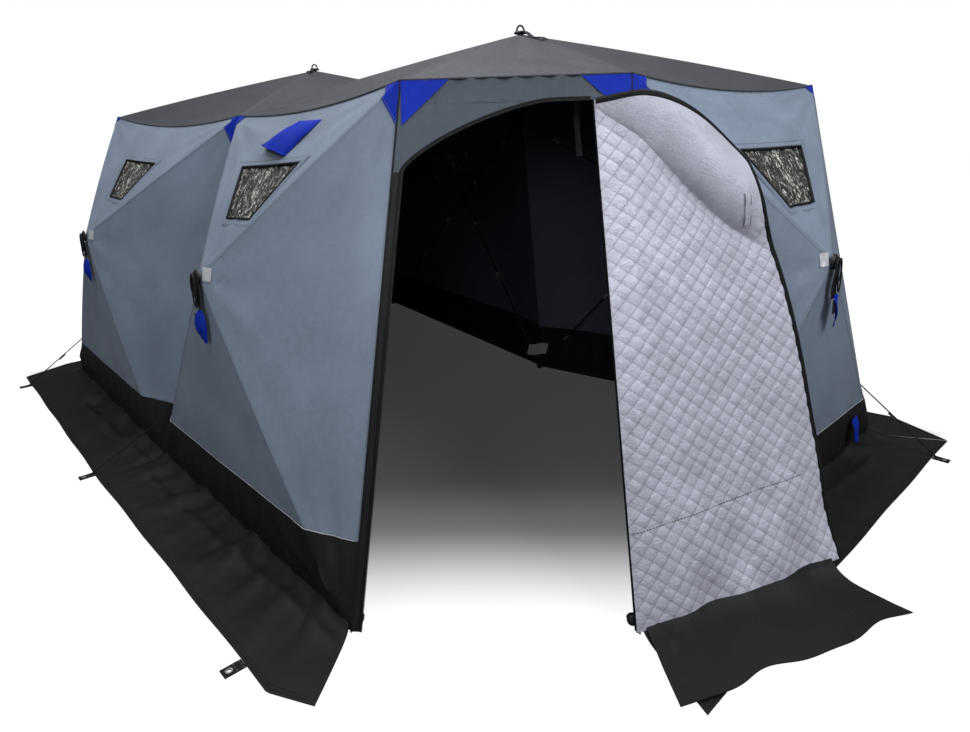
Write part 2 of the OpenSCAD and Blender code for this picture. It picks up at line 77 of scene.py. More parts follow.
class Slot(Enum):
    """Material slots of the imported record."""

    WALL = "wall_fabric"
    ROOF = "roof_fabric"
    SKIRT = "skirt_fabric"
    FILM = "window_vinyl"
    PLASTIC = "moulded_plastic"
    ACCENT = "accent_fabric"
    WEBBING = "webbing"
    METAL = "eyelet_metal"
    QUILT = "quilted_lining"
    ZIP = "zip_tape"


class Body(Enum):
    """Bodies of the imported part."""

    HUT = "hut"
    FOLD = "door_fold"
    DOOR = "door"


def unit(v: Array) -> Array:
    """Returns v at length one, row by row."""
    return v / np.linalg.norm(v, axis=-1, keepdims=True)


def smooth(t: Array) -> Array:
    """Returns the smooth step from 0 to 1 of t."""
    t = np.clip(t, 0.0, 1.0)
    return t * t * (3.0 - 2.0 * t)


def bell(x: Array, width: float) -> Array:
    """Returns 1 where x is 0, and falls off on both sides of it."""
    return np.exp(-(x / width) ** 2)


def after(i: int, step: int = 1) -> int:
    """Returns the corner that follows corner i round the hut, or is some steps on."""
    return (i + step) % CORNERS


def spin(p: Array, origin: Array, axis: Array, angle: Array | float) -> Array:
    """Turns points about a line.

    Args:
        p: points, one per row.
        origin: a point on the line.
        axis: direction of the line, of length one.
        angle: radians, one for all points or one each.

    Returns:
        The turned points.
    """
    a = np.broadcast_to(np.asarray(angle, float), (len(p),))[:, None]
    d = p - origin
    along = axis * (d @ axis)[:, None]
    return origin + d * np.cos(a) + np.cross(axis, d) * np.sin(a) + along * (1 - np.cos(a))


# Finishes


@dataclass
class Shader:
    """A material's node tree while it is put together."""

    name: str
    material: bpy.types.Material = field(init=False)
    base: bpy.types.Node = field(init=False)

    def __post_init__(self) -> None:
        """Makes the material and keeps its main shader."""
        self.material = bpy.data.materials.new(self.name)
        self.material.use_nodes = True
        self.base = self.material.node_tree.nodes["Principled BSDF"]

    def node(self, kind: str, values: dict | None = None, **settings: object) -> bpy.types.Node:
        """Adds a node.

        Args:
            kind: the node's type.
            values: values or linked outputs of its inputs, by name.
            settings: its own properties.

        Returns:
            The new node.
        """
        made = self.material.node_tree.nodes.new(kind)
        for key, value in settings.items():
            setattr(made, key, value)
        for key, value in (values or {}).items():
            self.feed(made.inputs[key], value)
        return made

    def feed(self, target: bpy.types.NodeSocket, value: object) -> None:
        """Sets an input to a number or colour, or links an output to it."""
        if isinstance(value, bpy.types.NodeSocket):
            self.material.node_tree.links.new(value, target)
        else:
            target.default_value = value

    def set(self, **values: object) -> None:
        """Sets the main shader's inputs; underscores stand for spaces."""
        for key, value in values.items():
            self.feed(self.base.inputs[key.replace("_", " ")], value)

    def coords(self, kind: str, scale: float | tuple, turn: float = 0.0) -> bpy.types.NodeSocket:
        """Returns scaled and turned coordinates.

        Args:
            kind: UV or Object.
            scale: one scale, or three.
            turn: turn about Z in radians.

        Returns:
            The mapped vector.
        """
        size = (scale,) * 3 if isinstance(scale, (int, float)) else scale
        source = self.node("ShaderNodeTexCoord").outputs[kind]
        mapping = self.node(
            "ShaderNodeMapping", {"Vector": source, "Scale": size, "Rotation": (0, 0, turn)}
        )
        return mapping.outputs["Vector"]

    def noise(self, vector: bpy.types.NodeSocket, detail: float = 3.0, rough: float = 0.55,
              warp: float = 0.0) -> bpy.types.NodeSocket:
        """Returns a noise value of scale one on a vector."""
        made = self.node("ShaderNodeTexNoise", {"Vector": vector, "Scale": 1.0, "Detail": detail,
                                                "Roughness": rough, "Distortion": warp})
        return made.outputs["Fac"]

    def bands(self, vector: bpy.types.NodeSocket, way: str) -> bpy.types.NodeSocket:
        """Returns sine bands across X or Y, one for each unit of the vector."""
        made = self.node("ShaderNodeTexWave", {"Vector": vector, "Scale": math.pi / 10.0},
                         wave_type="BANDS", bands_direction=way)
        return made.outputs["Fac"]

    def math(self, kind: str, a: object, b: object = 0.0) -> bpy.types.NodeSocket:
        """Returns a math node's value."""
        made = self.node("ShaderNodeMath", operation=kind)
        self.feed(made.inputs[0], a)
        self.feed(made.inputs[1], b)
        return made.outputs[0]

    def ramp(self, value: object, low: float, high: float, to: tuple[float, float] = (0.0, 1.0),
             ) -> bpy.types.NodeSocket:
        """Returns value mapped from low..high to another range, clamped."""
        made = self.node("ShaderNodeMapRange", {
            "From Min": low, "From Max": high, "To Min": to[0], "To Max": to[1]},
            interpolation_type="SMOOTHSTEP")
        self.feed(made.inputs["Value"], value)
        return made.outputs["Result"]

    def mix(self, share: object, a: Colour, b: Colour | bpy.types.NodeSocket,
            ) -> bpy.types.NodeSocket:
        """Returns the mix of two colours."""
        made = self.node("ShaderNodeMix", data_type="RGBA")
        self.feed(made.inputs[0], share)
        self.feed(made.inputs[6], a if isinstance(a, bpy.types.NodeSocket) else (*a, 1.0))
        self.feed(made.inputs[7], b if isinstance(b, bpy.types.NodeSocket) else (*b, 1.0))
        return made.outputs[2]

    def bump(self, height: bpy.types.NodeSocket, depth: float, strength: float = 1.0,
             under: bpy.types.NodeSocket | None = None) -> bpy.types.NodeSocket:
        """Returns a bumped normal of a height in metres of depth."""
        made = self.node("ShaderNodeBump", {
            "Height": height, "Distance": depth, "Strength": strength})
        if under is not None:
            self.feed(made.inputs["Normal"], under)
        return made.outputs["Normal"]


def shade(colour: Colour, k: float) -> Colour:
    """Returns a colour times a factor."""
    return tuple(min(1.0, c * k) for c in colour)


@dataclass(frozen=True)
class CoatedCloth:
    """Coated woven cloth: a fine ripstop weave, soft mottling and a low sheen."""

    name: str
    colour: Colour
    roughness: float = 0.5
    thread: float = 0.0026
    grid: float = 0.011
    relief: float = 0.0005
    crumple: float = 0.0025
    dust: float = 0.0
    sheen: float = 0.04
    specular: float = 0.4

    def material(self) -> bpy.types.Material:
        """Returns the cloth's material, on the piece's own UV map in metres."""
        s = Shader(self.name)
        wide = s.noise(s.coords("UV", 2.6), 4.0, 0.6, 0.4)
        fine = s.noise(s.coords("UV", 38.0), 5.0, 0.6)
        threads = s.coords("UV", 1.0 / self.thread)
        weave = s.math("MULTIPLY", s.bands(threads, "X"), s.bands(threads, "Y"))
        cells = s.coords("UV", 1.0 / self.grid)
        ribs = s.math("MAXIMUM", s.ramp(s.bands(cells, "X"), 0.9, 1.0),
                      s.ramp(s.bands(cells, "Y"), 0.9, 1.0))
        tone = s.math("ADD", s.math("MULTIPLY", wide, 0.65), s.math("MULTIPLY", fine, 0.35))
        cloth = s.mix(s.ramp(tone, 0.3, 0.7), shade(self.colour, 0.84), shade(self.colour, 1.14))
        cloth = s.mix(s.math("MULTIPLY", ribs, 0.16), cloth, shade(self.colour, 1.5))
        if self.dust:
            specks = s.ramp(s.noise(s.coords("UV", 21.0), 6.0, 0.75), 0.62, 0.8, (0.0, self.dust))
            cloth = s.mix(specks, cloth, (0.33, 0.32, 0.30))
        folds = s.noise(s.coords("UV", (7.0, 11.0, 7.0)), 3.0, 0.5, 1.2)
        normal = s.bump(folds, self.crumple, 0.55)
        normal = s.bump(s.math("ADD", weave, ribs), self.relief, 0.5, normal)
        s.set(Base_Color=cloth, Normal=normal, Sheen_Weight=self.sheen, Sheen_Roughness=0.4,
              Specular_IOR_Level=self.specular,
              Roughness=s.ramp(fine, 0.25, 0.75, (self.roughness - 0.07, self.roughness + 0.1)))
        return s.material


@dataclass(frozen=True)
class QuiltLining:
    """Silver satin lining with a crinkled face, and painted shade along its stitch lines, in its
    creases and under the fold at the door's head.
    """

    name: str = "silver_lining"
    colour: Colour = (0.365, 0.375, 0.455)
    cell: float = 0.053
    lean: float = 0.84
    slant: float = 0.82

    def near(self, s: Shader, place: bpy.types.NodeSocket) -> bpy.types.NodeSocket:
        """Returns 1 on the stitch lines of one direction and 0 between them."""
        turn = s.math("SINE", s.math("MULTIPLY", place, math.pi))
        return s.ramp(s.math("ABSOLUTE", turn), 0.0, 0.24, (1.0, 0.0))

    def lines(self, s: Shader) -> bpy.types.NodeSocket:
        """Returns the stitch lines of the quilting, where the cloth is quilted."""
        axes = s.node("ShaderNodeSeparateXYZ", {"Vector": s.coords("UV", 1.0)})
        x, y = axes.outputs["X"], axes.outputs["Y"]
        lean = s.math("MULTIPLY", x, self.lean)
        p = s.math("DIVIDE", s.math("ADD", lean, y), self.cell)
        q = s.math("DIVIDE", s.math("SUBTRACT", lean, s.math("MULTIPLY", y, self.slant)), self.cell)
        quilted = s.node("ShaderNodeAttribute", attribute_name="quilted").outputs["Fac"]
        return s.math("MULTIPLY", s.math("MAXIMUM", self.near(s, p), self.near(s, q)), quilted)

    def material(self) -> bpy.types.Material:
        """Returns the lining's material; the quilting itself is in the mesh."""
        s = Shader(self.name)
        painted_crease_shade = s.node("ShaderNodeAttribute", attribute_name="painted_crease_shade").outputs["Fac"]
        wide = s.noise(s.coords("UV", 7.0), 4.0, 0.6, 0.6)
        crinkle = s.noise(s.coords("UV", (46.0, 70.0, 46.0)), 5.0, 0.65, 1.4)
        threads = s.coords("UV", 1.0 / 0.0018)
        weave = s.math("MULTIPLY", s.bands(threads, "X"), s.bands(threads, "Y"))
        cloth = s.mix(s.ramp(wide, 0.3, 0.7), shade(self.colour, 0.88), shade(self.colour, 1.12))
        cloth = s.mix(s.ramp(crinkle, 0.45, 0.75, (0.0, 0.3)), cloth, shade(self.colour, 1.4))
        # Painted shade: darker in the quilting's creases and along its seam, with a painted shadow
        # under the fold over the door's head, carried by a mesh attribute.
        cloth = s.mix(s.math("MULTIPLY", painted_crease_shade, 0.4), cloth, shade(self.colour, 0.5))
        # Painted shade: the stitch lines are darkened as the shade in their grooves.
        cloth = s.mix(s.math("MULTIPLY", self.lines(s), 0.5), cloth, shade(self.colour, 0.42))
        normal = s.bump(crinkle, 0.006, 0.7)
        normal = s.bump(weave, 0.0003, 0.4, normal)
        s.set(Base_Color=cloth, Normal=normal, Metallic=0.12, Sheen_Weight=0.25,
              Sheen_Roughness=0.35, Roughness=s.ramp(crinkle, 0.3, 0.7, (0.36, 0.5)))
        return s.material


@dataclass(frozen=True)
class ClearFilm:
    """Clear crinkled vinyl, with painted glints and a near-black colour that paints the dark inside
    seen through it.
    """

    name: str = "clear_film"

    def material(self) -> bpy.types.Material:
        """Returns the film's material."""
        s = Shader(self.name)
        crumple = s.noise(s.coords("UV", (58.0, 21.0, 40.0), 0.35), 4.0, 0.62, 1.6)
        fine = s.noise(s.coords("UV", (90.0, 40.0, 60.0), -0.3), 3.0, 0.6, 2.0)
        # Painted reflection: bright glints on the crumple's crests, over a near-black colour that
        # paints the dark inside seen through the film.
        glint = s.math("MULTIPLY", s.ramp(crumple, 0.52, 0.6), s.ramp(fine, 0.4, 0.6, (0.15, 1.0)))
        s.set(Base_Color=s.mix(glint, (0.014, 0.0135, 0.012), (0.80, 0.79, 0.72)),
              Normal=s.bump(crumple, 0.02, 1.0),
              Transmission_Weight=s.ramp(glint, 0.0, 0.4, (0.3, 0.0)),
              IOR=1.46, Coat_Weight=0.5, Coat_Roughness=0.08,
              Roughness=s.ramp(fine, 0.3, 0.7, (0.1, 0.26)))
        return s.material


@dataclass(frozen=True)
class Strapping:
    """Ribbed webbing or cord: ribs along the piece, by its UV map."""

    name: str
    colour: Colour
    across: float
    along: float
    roughness: float = 0.62

    def material(self) -> bpy.types.Material:
        """Returns the strap's material; U runs round it and V along it."""
        s = Shader(self.name)
        ways = [s.bands(s.coords("UV", (self.across, along, 1.0)), "DIAGONAL")
                for along in (self.along, -self.along)]
        ribs = s.math("MULTIPLY", *ways)
        worn = s.noise(s.coords("Object", 60.0), 4.0)
        cloth = s.mix(s.ramp(ribs, 0.0, 1.0, (0.0, 0.7)), shade(self.colour, 0.55),
                      shade(self.colour, 1.5))
        cloth = s.mix(s.ramp(worn, 0.55, 0.8, (0.0, 0.25)), cloth, shade(self.colour, 2.2))
        s.set(Base_Color=cloth, Normal=s.bump(ribs, 0.0008, 0.7), Specular_IOR_Level=0.14,
              Roughness=s.ramp(worn, 0.3, 0.7, (self.roughness - 0.08, self.roughness + 0.1)))
        return s.material


@dataclass(frozen=True)
class Moulding:
    """Moulded plastic or drawn fibreglass with a fine grain and rubbed spots."""

    name: str
    colour: Colour
    roughness: float
    grain: tuple[float, float, float] = (420.0, 420.0, 420.0)

    def material(self) -> bpy.types.Material:
        """Returns the moulding's material, on Object coordinates."""
        s = Shader(self.name)
        grain = s.noise(s.coords("Object", self.grain), 3.0, 0.6)
        rubbed = s.noise(s.coords("Object", 34.0), 5.0, 0.65, 0.5)
        tone = s.mix(s.ramp(rubbed, 0.5, 0.75, (0.0, 0.4)), self.colour, shade(self.colour, 2.4))
        s.set(Specular_IOR_Level=0.25, Base_Color=tone, Normal=s.bump(grain, 0.0003, 0.5),
              Roughness=s.ramp(rubbed, 0.3, 0.7, (self.roughness - 0.08, self.roughness + 0.12)))
        return s.material


@dataclass(frozen=True)
class Plating:
    """Plated steel with fine brushing and dull spots."""

    name: str = "plated_steel"
    colour: Colour = (0.62, 0.62, 0.60)

    def material(self) -> bpy.types.Material:
        """Returns the plated metal's material."""
        s = Shader(self.name)
        brushed = s.noise(s.coords("Object", (180.0, 180.0, 2600.0)), 3.0)
        dull = s.noise(s.coords("Object", 90.0), 4.0)
        s.set(Base_Color=s.mix(s.ramp(dull, 0.45, 0.75, (0.0, 0.5)), self.colour,
                               shade(self.colour, 0.6)),
              Metallic=1.0, Normal=s.bump(brushed, 0.0002, 0.3),
              Roughness=s.ramp(dull, 0.3, 0.7, (0.22, 0.42)))
        return s.material


@dataclass
class Finishes:
    """All finishes of the hut, each made once."""

    wall: CoatedCloth = CoatedCloth("slate_cloth", (0.131, 0.167, 0.226), 0.5)
    # Painted shade: a darker copy of the wall slate for the cloth over the doorway's head and
    # beside its hinge, which stands in shade.
    porch: CoatedCloth = CoatedCloth("shaded_slate_cloth", (0.048, 0.060, 0.078), 0.55, sheen=0.0,
                                     specular=0.2)
    roof: CoatedCloth = CoatedCloth("charcoal_cloth", (0.028, 0.030, 0.037), 0.5, specular=0.15)
    skirt: CoatedCloth = CoatedCloth("black_cloth", (0.007, 0.007, 0.0075), 0.58, dust=0.06,
                                     sheen=0.0, specular=0.17)
    inside: CoatedCloth = CoatedCloth("dark_lining", (0.05, 0.054, 0.085), 0.6, crumple=0.004,
                                      sheen=0.0)
    accent: CoatedCloth = CoatedCloth("cobalt_cloth", (0.003, 0.019, 0.28), 0.6, thread=0.0016,
                                      sheen=0.0, specular=0.1)
    silver: QuiltLining = QuiltLining()
    film: ClearFilm = ClearFilm()
    webbing: Strapping = Strapping("black_webbing", (0.012, 0.012, 0.013), 420.0, 240.0)
    cord: Strapping = Strapping("black_cord", (0.014, 0.014, 0.015), 500.0, 160.0)
    tape: Strapping = Strapping("zip_tape", (0.006, 0.006, 0.0065), 300.0, 300.0)
    thread: Strapping = Strapping("grey_thread", (0.20, 0.215, 0.245), 900.0, 900.0)
    plastic: Moulding = Moulding("black_moulding", (0.012, 0.012, 0.013), 0.45)
    fibre: Moulding = Moulding("pole_fibre", (0.012, 0.012, 0.013), 0.4, (700.0, 700.0, 30.0))
    patch: Moulding = Moulding("reflective_patch", (0.36, 0.375, 0.40), 0.3, (900.0, 900.0, 900.0))
    metal: Plating = Plating()
    made: dict[str, bpy.types.Material] = field(default_factory=dict)

    def get(self, name: str) -> bpy.types.Material:
        """Returns the material of a finish by its field's name."""
        if name not in self.made:
            self.made[name] = getattr(self, name).material()
        return self.made[name]

    def fit(self, stock: Stock, name: str, finish: str, slot: Slot, *nodes: str,
            crease: float = 30.0) -> None:
        """Makes a stock a piece of the hut in one finish.

        Args:
            stock: its points and faces.
            name: the piece's name.
            finish: its finish.
            slot: its material slot; not used.
            nodes: the nodes that it stands for.
            crease: angle in degrees past which an edge stays sharp.
        """
        ride(stock.piece(name, self.get(finish), crease=crease), Body.HUT, slot, *nodes)


# Meshes


@dataclass
class Stock:
    """Points, faces and UVs of a piece while it is put together."""

    points: list[Array] = field(default_factory=list)
    uvs: list[Array] = field(default_factory=list)
    faces: list[tuple[int, ...]] = field(default_factory=list)
    marks: list[int] = field(default_factory=list)
    count: int = 0

    def add(self, points: Array, faces: Sequence, uv: Array, backs: int = 0) -> None:
        """Adds a patch.

        Args:
            points: its points, one per row.
            faces: its faces, by point.
            uv: a UV for each point, in metres.
            backs: how many of its last faces are in the piece's second material.
        """
        self.points.append(np.asarray(points, float))
        self.uvs.append(np.asarray(uv, float)[:, :2])
        self.faces.extend(tuple(int(k) + self.count for k in f) for f in faces)
        self.marks.extend([0] * (len(faces) - backs) + [1] * backs)
        self.count += len(points)

    def mesh(self, name: str) -> bpy.types.Mesh:
        """Returns the stock as a mesh with its UV map."""
        points, uv = np.concatenate(self.points), np.concatenate(self.uvs)
        made = bpy.data.meshes.new(name)
        made.from_pydata(points.tolist(), [], self.faces)
        layer = made.uv_layers.new(name="UVMap")
        loops = np.empty(len(made.loops), np.int32)
        made.loops.foreach_get("vertex_index", loops)
        layer.data.foreach_set("uv", uv[loops].astype(np.float32).ravel())
        made.polygons.foreach_set("material_index", np.array(self.marks, np.int32))
        return made

    def piece(self, name: str, *materials: bpy.types.Material, crease: float = 30.0,
              ) -> bpy.types.Object:
        """Returns the stock as an object.

        Args:
            name: the piece's name.
            materials: its materials, in the order of its marks.
            crease: angle in degrees past which an edge stays sharp.

        Returns:
            The object, linked to the scene.
        """
        return link_piece(name, self.mesh(name), materials, crease)


def link_piece(name: str, mesh: bpy.types.Mesh, materials: Sequence[bpy.types.Material],
               crease: float = 30.0) -> bpy.types.Object:
    """Links a mesh to the scene as a smooth-shaded piece with its materials."""
    for material in materials:
        mesh.materials.append(material)
    mesh.polygons.foreach_set("use_smooth", np.ones(len(mesh.polygons), bool))
    mesh.set_sharp_from_angle(angle=math.radians(crease))
    made = bpy.data.objects.new(name, mesh)
    bpy.context.scene.collection.objects.link(made)
    return made


def settle(piece: bpy.types.Object, crease: float = 30.0) -> bpy.types.Object:
    """Turns a piece's modifiers into its own plain mesh."""
    bpy.context.view_layer.update()
    evaluated = piece.evaluated_get(bpy.context.evaluated_depsgraph_get())
    mesh = bpy.data.meshes.new_from_object(
        evaluated, preserve_all_data_layers=True, depsgraph=bpy.context.evaluated_depsgraph_get())
    old = piece.data
    piece.modifiers.clear()
    piece.data = mesh
    mesh.name = piece.name
    bpy.data.meshes.remove(old)
    mesh.polygons.foreach_set("use_smooth", np.ones(len(mesh.polygons), bool))
    mesh.set_sharp_from_angle(angle=math.radians(crease))
    return piece


def thicken(piece: bpy.types.Object, thick: float, back: int = 0, rim: int = 0,
            crease: float = 30.0) -> bpy.types.Object:
    """Gives a sheet its thickness, inward from its face.

    Args:
        piece: the sheet.
        thick: thickness in metres.
        back: step to the material of the back.
        rim: step to the material of the rim.
        crease: angle in degrees past which an edge stays sharp.

    Returns:
        The thick piece.
    """
    made = piece.modifiers.new("thickness", "SOLIDIFY")
    made.thickness, made.offset = thick, -1.0
    made.material_offset, made.material_offset_rim = back, rim
    return settle(piece, crease)


def grid(rows: int, columns: int, closed: bool = False) -> list[tuple[int, ...]]:
    """Returns the quads of a grid of points, closed round its columns or not."""
    last = columns if closed else columns - 1
    return [(r * columns + c, r * columns + (c + 1) % columns,
             (r + 1) * columns + (c + 1) % columns, (r + 1) * columns + c)
            for r in range(rows - 1) for c in range(last)]


def lattice(rows: int, columns: int) -> tuple[Array, Array]:
    """Returns the shares across and up of a grid of points, each as one column."""
    u, v = np.meshgrid(np.linspace(0, 1, columns), np.linspace(0, 1, rows))
    return u.ravel()[:, None], v.ravel()[:, None]


def looking(faces: list[tuple[int, ...]], points: Array, out: Array,
            at: int = 0) -> list[tuple[int, ...]]:
    """Returns faces, turned over if the one at a place in the list looks away from out."""
    a, b, c = (points[k] for k in faces[at][:3])
    return [f[::-1] for f in faces] if np.cross(b - a, c - a) @ out < 0 else faces


def length_along(path: Array) -> Array:
    """Returns the running length at each point of a path."""
    return np.concatenate([[0.0], np.cumsum(np.linalg.norm(np.diff(path, axis=0), axis=1))])


def frames_along(path: Array, hint: Array) -> tuple[Array, Array, Array]:
    """Returns tangents, sides and normals along a path.

    Args:
        path: points in order.
        hint: normals to follow, one for all or one each.

    Returns:
        Three arrays of directions, one row per point.
    """
    tangent = unit(np.gradient(path, axis=0))
    hint = np.broadcast_to(hint, path.shape)
    side = unit(np.cross(hint, tangent))
    return tangent, side, np.cross(tangent, side)


def hint_off(way: Array) -> Array:
    """Returns a direction well off a given one."""
    return UP if abs(way[2]) < 0.9 else np.array([1.0, 0.0, 0.0])


def skin(rows: int, sides: int) -> list[tuple[int, ...]]:
    """Returns the faces over rows of rings, with both ends closed."""
    first, last = range(sides - 1, -1, -1), range((rows - 1) * sides, rows * sides)
    return grid(rows, sides, True) + [tuple(first), tuple(last)]


def tube(stock: Stock, path: Array, radius: float, sides: int = 8) -> None:
    """Adds a round tube with closed ends along a path."""
    _, side, normal = frames_along(path, hint_off(unit(path[-1] - path[0])))
    angle = np.linspace(0.0, 2.0 * math.pi, sides, endpoint=False)
    ring = (side[:, None] * np.cos(angle)[None, :, None]
            + normal[:, None] * np.sin(angle)[None, :, None]) * radius
    points = (path[:, None] + ring).reshape(-1, 3)
    uv = np.stack([np.tile(angle * radius, len(path)), np.repeat(length_along(path), sides)], 1)
    stock.add(points, skin(len(path), sides), uv)


def ribbon(stock: Stock, path: Array, normal: Array, width: float | Array, thick: float) -> None:
    """Adds a flat strap with rounded edges along a path.

    Args:
        stock: what it is added to.
        path: its middle line on its underside.
        normal: direction of its upper face, one for all or one each.
        width: its width, one for all or one each.
        thick: its thickness.
    """
    _, side, up = frames_along(path, normal)
    half = np.broadcast_to(width, (len(path),))[:, None] / 2
    inset = thick * 0.35
    outline = [(-1, -inset, 0.0), (1, -inset, 0.0), (1, 0.0, 0.35), (1, 0.0, 0.65),
               (1, -inset, 1.0), (-1, -inset, 1.0), (-1, 0.0, 0.65), (-1, 0.0, 0.35)]
    rings = np.stack([path + side * (sign * (half + inner)) + up * (thick * high)
                      for sign, inner, high in outline], 1)
    n = len(outline)
    across = np.array([sign for sign, _, _ in outline], float) * float(np.mean(half))
    uv = np.stack([np.tile(across, len(path)), np.repeat(length_along(path), n)], 1)
    stock.add(rings.reshape(-1, 3), skin(len(path), n), uv)


def lathe(stock: Stock, profile: Sequence[tuple[float, float]], origin: Array, axis: Array,
          sides: int = 20) -> None:
    """Adds a turned form; the profile gives radius and height along the axis."""
    axis = unit(axis)
    x = unit(np.cross(hint_off(axis), axis))
    y = np.cross(axis, x)
    angle = np.linspace(0.0, 2 * math.pi, sides, endpoint=False)
    turn = x * np.cos(angle)[:, None] + y * np.sin(angle)[:, None]
    points = np.concatenate([origin + axis * h + turn * max(r, 1e-5) for r, h in profile])
    run = length_along(np.array([(r, h, 0.0) for r, h in profile]))
    uv = np.stack([np.tile(angle * 0.02, len(profile)), np.repeat(run, sides)], 1)
    stock.add(points, skin(len(profile), sides), uv)


@dataclass
class Rows:
    """Rows of small repeats, such as stitches, zip teeth and ferrules, made by Geometry Nodes."""

    lines: list[tuple[Array, Array]] = field(default_factory=list)

    def add(self, path: Array, normal: Array) -> None:
        """Adds a line to follow, with the direction that faces up on it."""
        self.lines.append((np.asarray(path), np.broadcast_to(normal, np.shape(path))))

    @staticmethod
    def tree(bar: bool) -> bpy.types.NodeTree:
        """Returns the node tree that sets a bar or a collar along curves.

        Args:
            bar: a flat bar for stitches and teeth, or else a round collar.

        Returns:
            The tree, with named inputs for its sizes.
        """
        tree = bpy.data.node_groups.new("rows_of_bars" if bar else "rows_of_collars",
                                        "GeometryNodeTree")
        face = tree.interface
        face.new_socket("Geometry", in_out="INPUT", socket_type="NodeSocketGeometry")
        for name in ("Spacing", "Length", "Width", "Height"):
            face.new_socket(name, in_out="INPUT", socket_type="NodeSocketFloat")
        face.new_socket("Finish", in_out="INPUT", socket_type="NodeSocketMaterial")
        face.new_socket("Geometry", in_out="OUTPUT", socket_type="NodeSocketGeometry")
        nodes, links = tree.nodes, tree.links
        given, out, curve, points, tangent, along, lay, upright, place, real, dress = (
            nodes.new(kind) for kind in (
                "NodeGroupInput", "NodeGroupOutput", "GeometryNodeMeshToCurve",
                "GeometryNodeResampleCurve", "GeometryNodeInputTangent",
                "FunctionNodeAlignRotationToVector", "GeometryNodeInputNamedAttribute",
                "FunctionNodeAlignRotationToVector", "GeometryNodeInstanceOnPoints",
                "GeometryNodeRealizeInstances", "GeometryNodeSetMaterial"))
        points.mode = "LENGTH"
        along.axis = "X" if bar else "Z"
        upright.axis, upright.pivot_axis = ("Z", "X") if bar else ("X", "Z")
        lay.data_type = "FLOAT_VECTOR"
        lay.inputs["Name"].default_value = "lay"
        if bar:
            shape = nodes.new("GeometryNodeMeshCube")
            size = nodes.new("ShaderNodeCombineXYZ")
            for axis, name in zip("XYZ", ("Length", "Width", "Height")):
                links.new(given.outputs[name], size.inputs[axis])
            links.new(size.outputs[0], shape.inputs["Size"])
        else:
            shape = nodes.new("GeometryNodeMeshCylinder")
            shape.inputs["Vertices"].default_value = 14
            links.new(given.outputs["Width"], shape.inputs["Radius"])
            links.new(given.outputs["Length"], shape.inputs["Depth"])
        for source, target in (
                (tangent.outputs[0], along.inputs["Vector"]),
                (along.outputs[0], upright.inputs["Rotation"]),
                (lay.outputs["Attribute"], upright.inputs["Vector"]),
                (given.outputs["Geometry"], curve.inputs[0]),
                (curve.outputs[0], points.inputs["Curve"]),
                (given.outputs["Spacing"], points.inputs["Length"]),
                (points.outputs[0], place.inputs["Points"]),
                (shape.outputs["Mesh"], place.inputs["Instance"]),
                (upright.outputs[0], place.inputs["Rotation"]),
                (place.outputs[0], real.inputs[0]),
                (real.outputs[0], dress.inputs["Geometry"]),
                (given.outputs["Finish"], dress.inputs["Material"]),
                (dress.outputs[0], out.inputs[0])):
            links.new(source, target)
        return tree

    def piece(self, name: str, spacing: float, size: tuple[float, float, float],
              material: bpy.types.Material, bar: bool = True) -> bpy.types.Object:
        """Builds the rows as one plain mesh.

        Args:
            name: the piece's name.
            spacing: distance between repeats.
            size: length, width and height of one.
            material: their finish.
            bar: a flat bar, or else a round collar.

        Returns:
            The piece.
        """
        mesh = bpy.data.meshes.new(name)
        points = np.concatenate([p for p, _ in self.lines])
        lay = np.concatenate([n for _, n in self.lines])
        edges, start = [], 0
        for path, _ in self.lines:
            edges += [(start + k, start + k + 1) for k in range(len(path) - 1)]
            start += len(path)
        mesh.from_pydata(points.tolist(), edges, [])
        attribute = mesh.attributes.new("lay", "FLOAT_VECTOR", "POINT")
        attribute.data.foreach_set("vector", lay.astype(np.float32).ravel())
        made = bpy.data.objects.new(name, mesh)
        bpy.context.scene.collection.objects.link(made)
        modifier = made.modifiers.new("rows", "NODES")
        modifier.node_group = self.tree(bar)
        values = dict(zip(("Spacing", "Length", "Width", "Height"), (spacing, *size)))
        values["Finish"] = material
        for item in modifier.node_group.interface.items_tree:
            if item.in_out == "INPUT" and item.name in values:
                modifier[item.identifier] = values[item.name]
        settle(made)
        if "lay" in made.data.attributes:
            made.data.attributes.remove(made.data.attributes["lay"])
        if not made.data.uv_layers:
            made.data.uv_layers.new(name="UVMap")
        return made


# The hut's plan


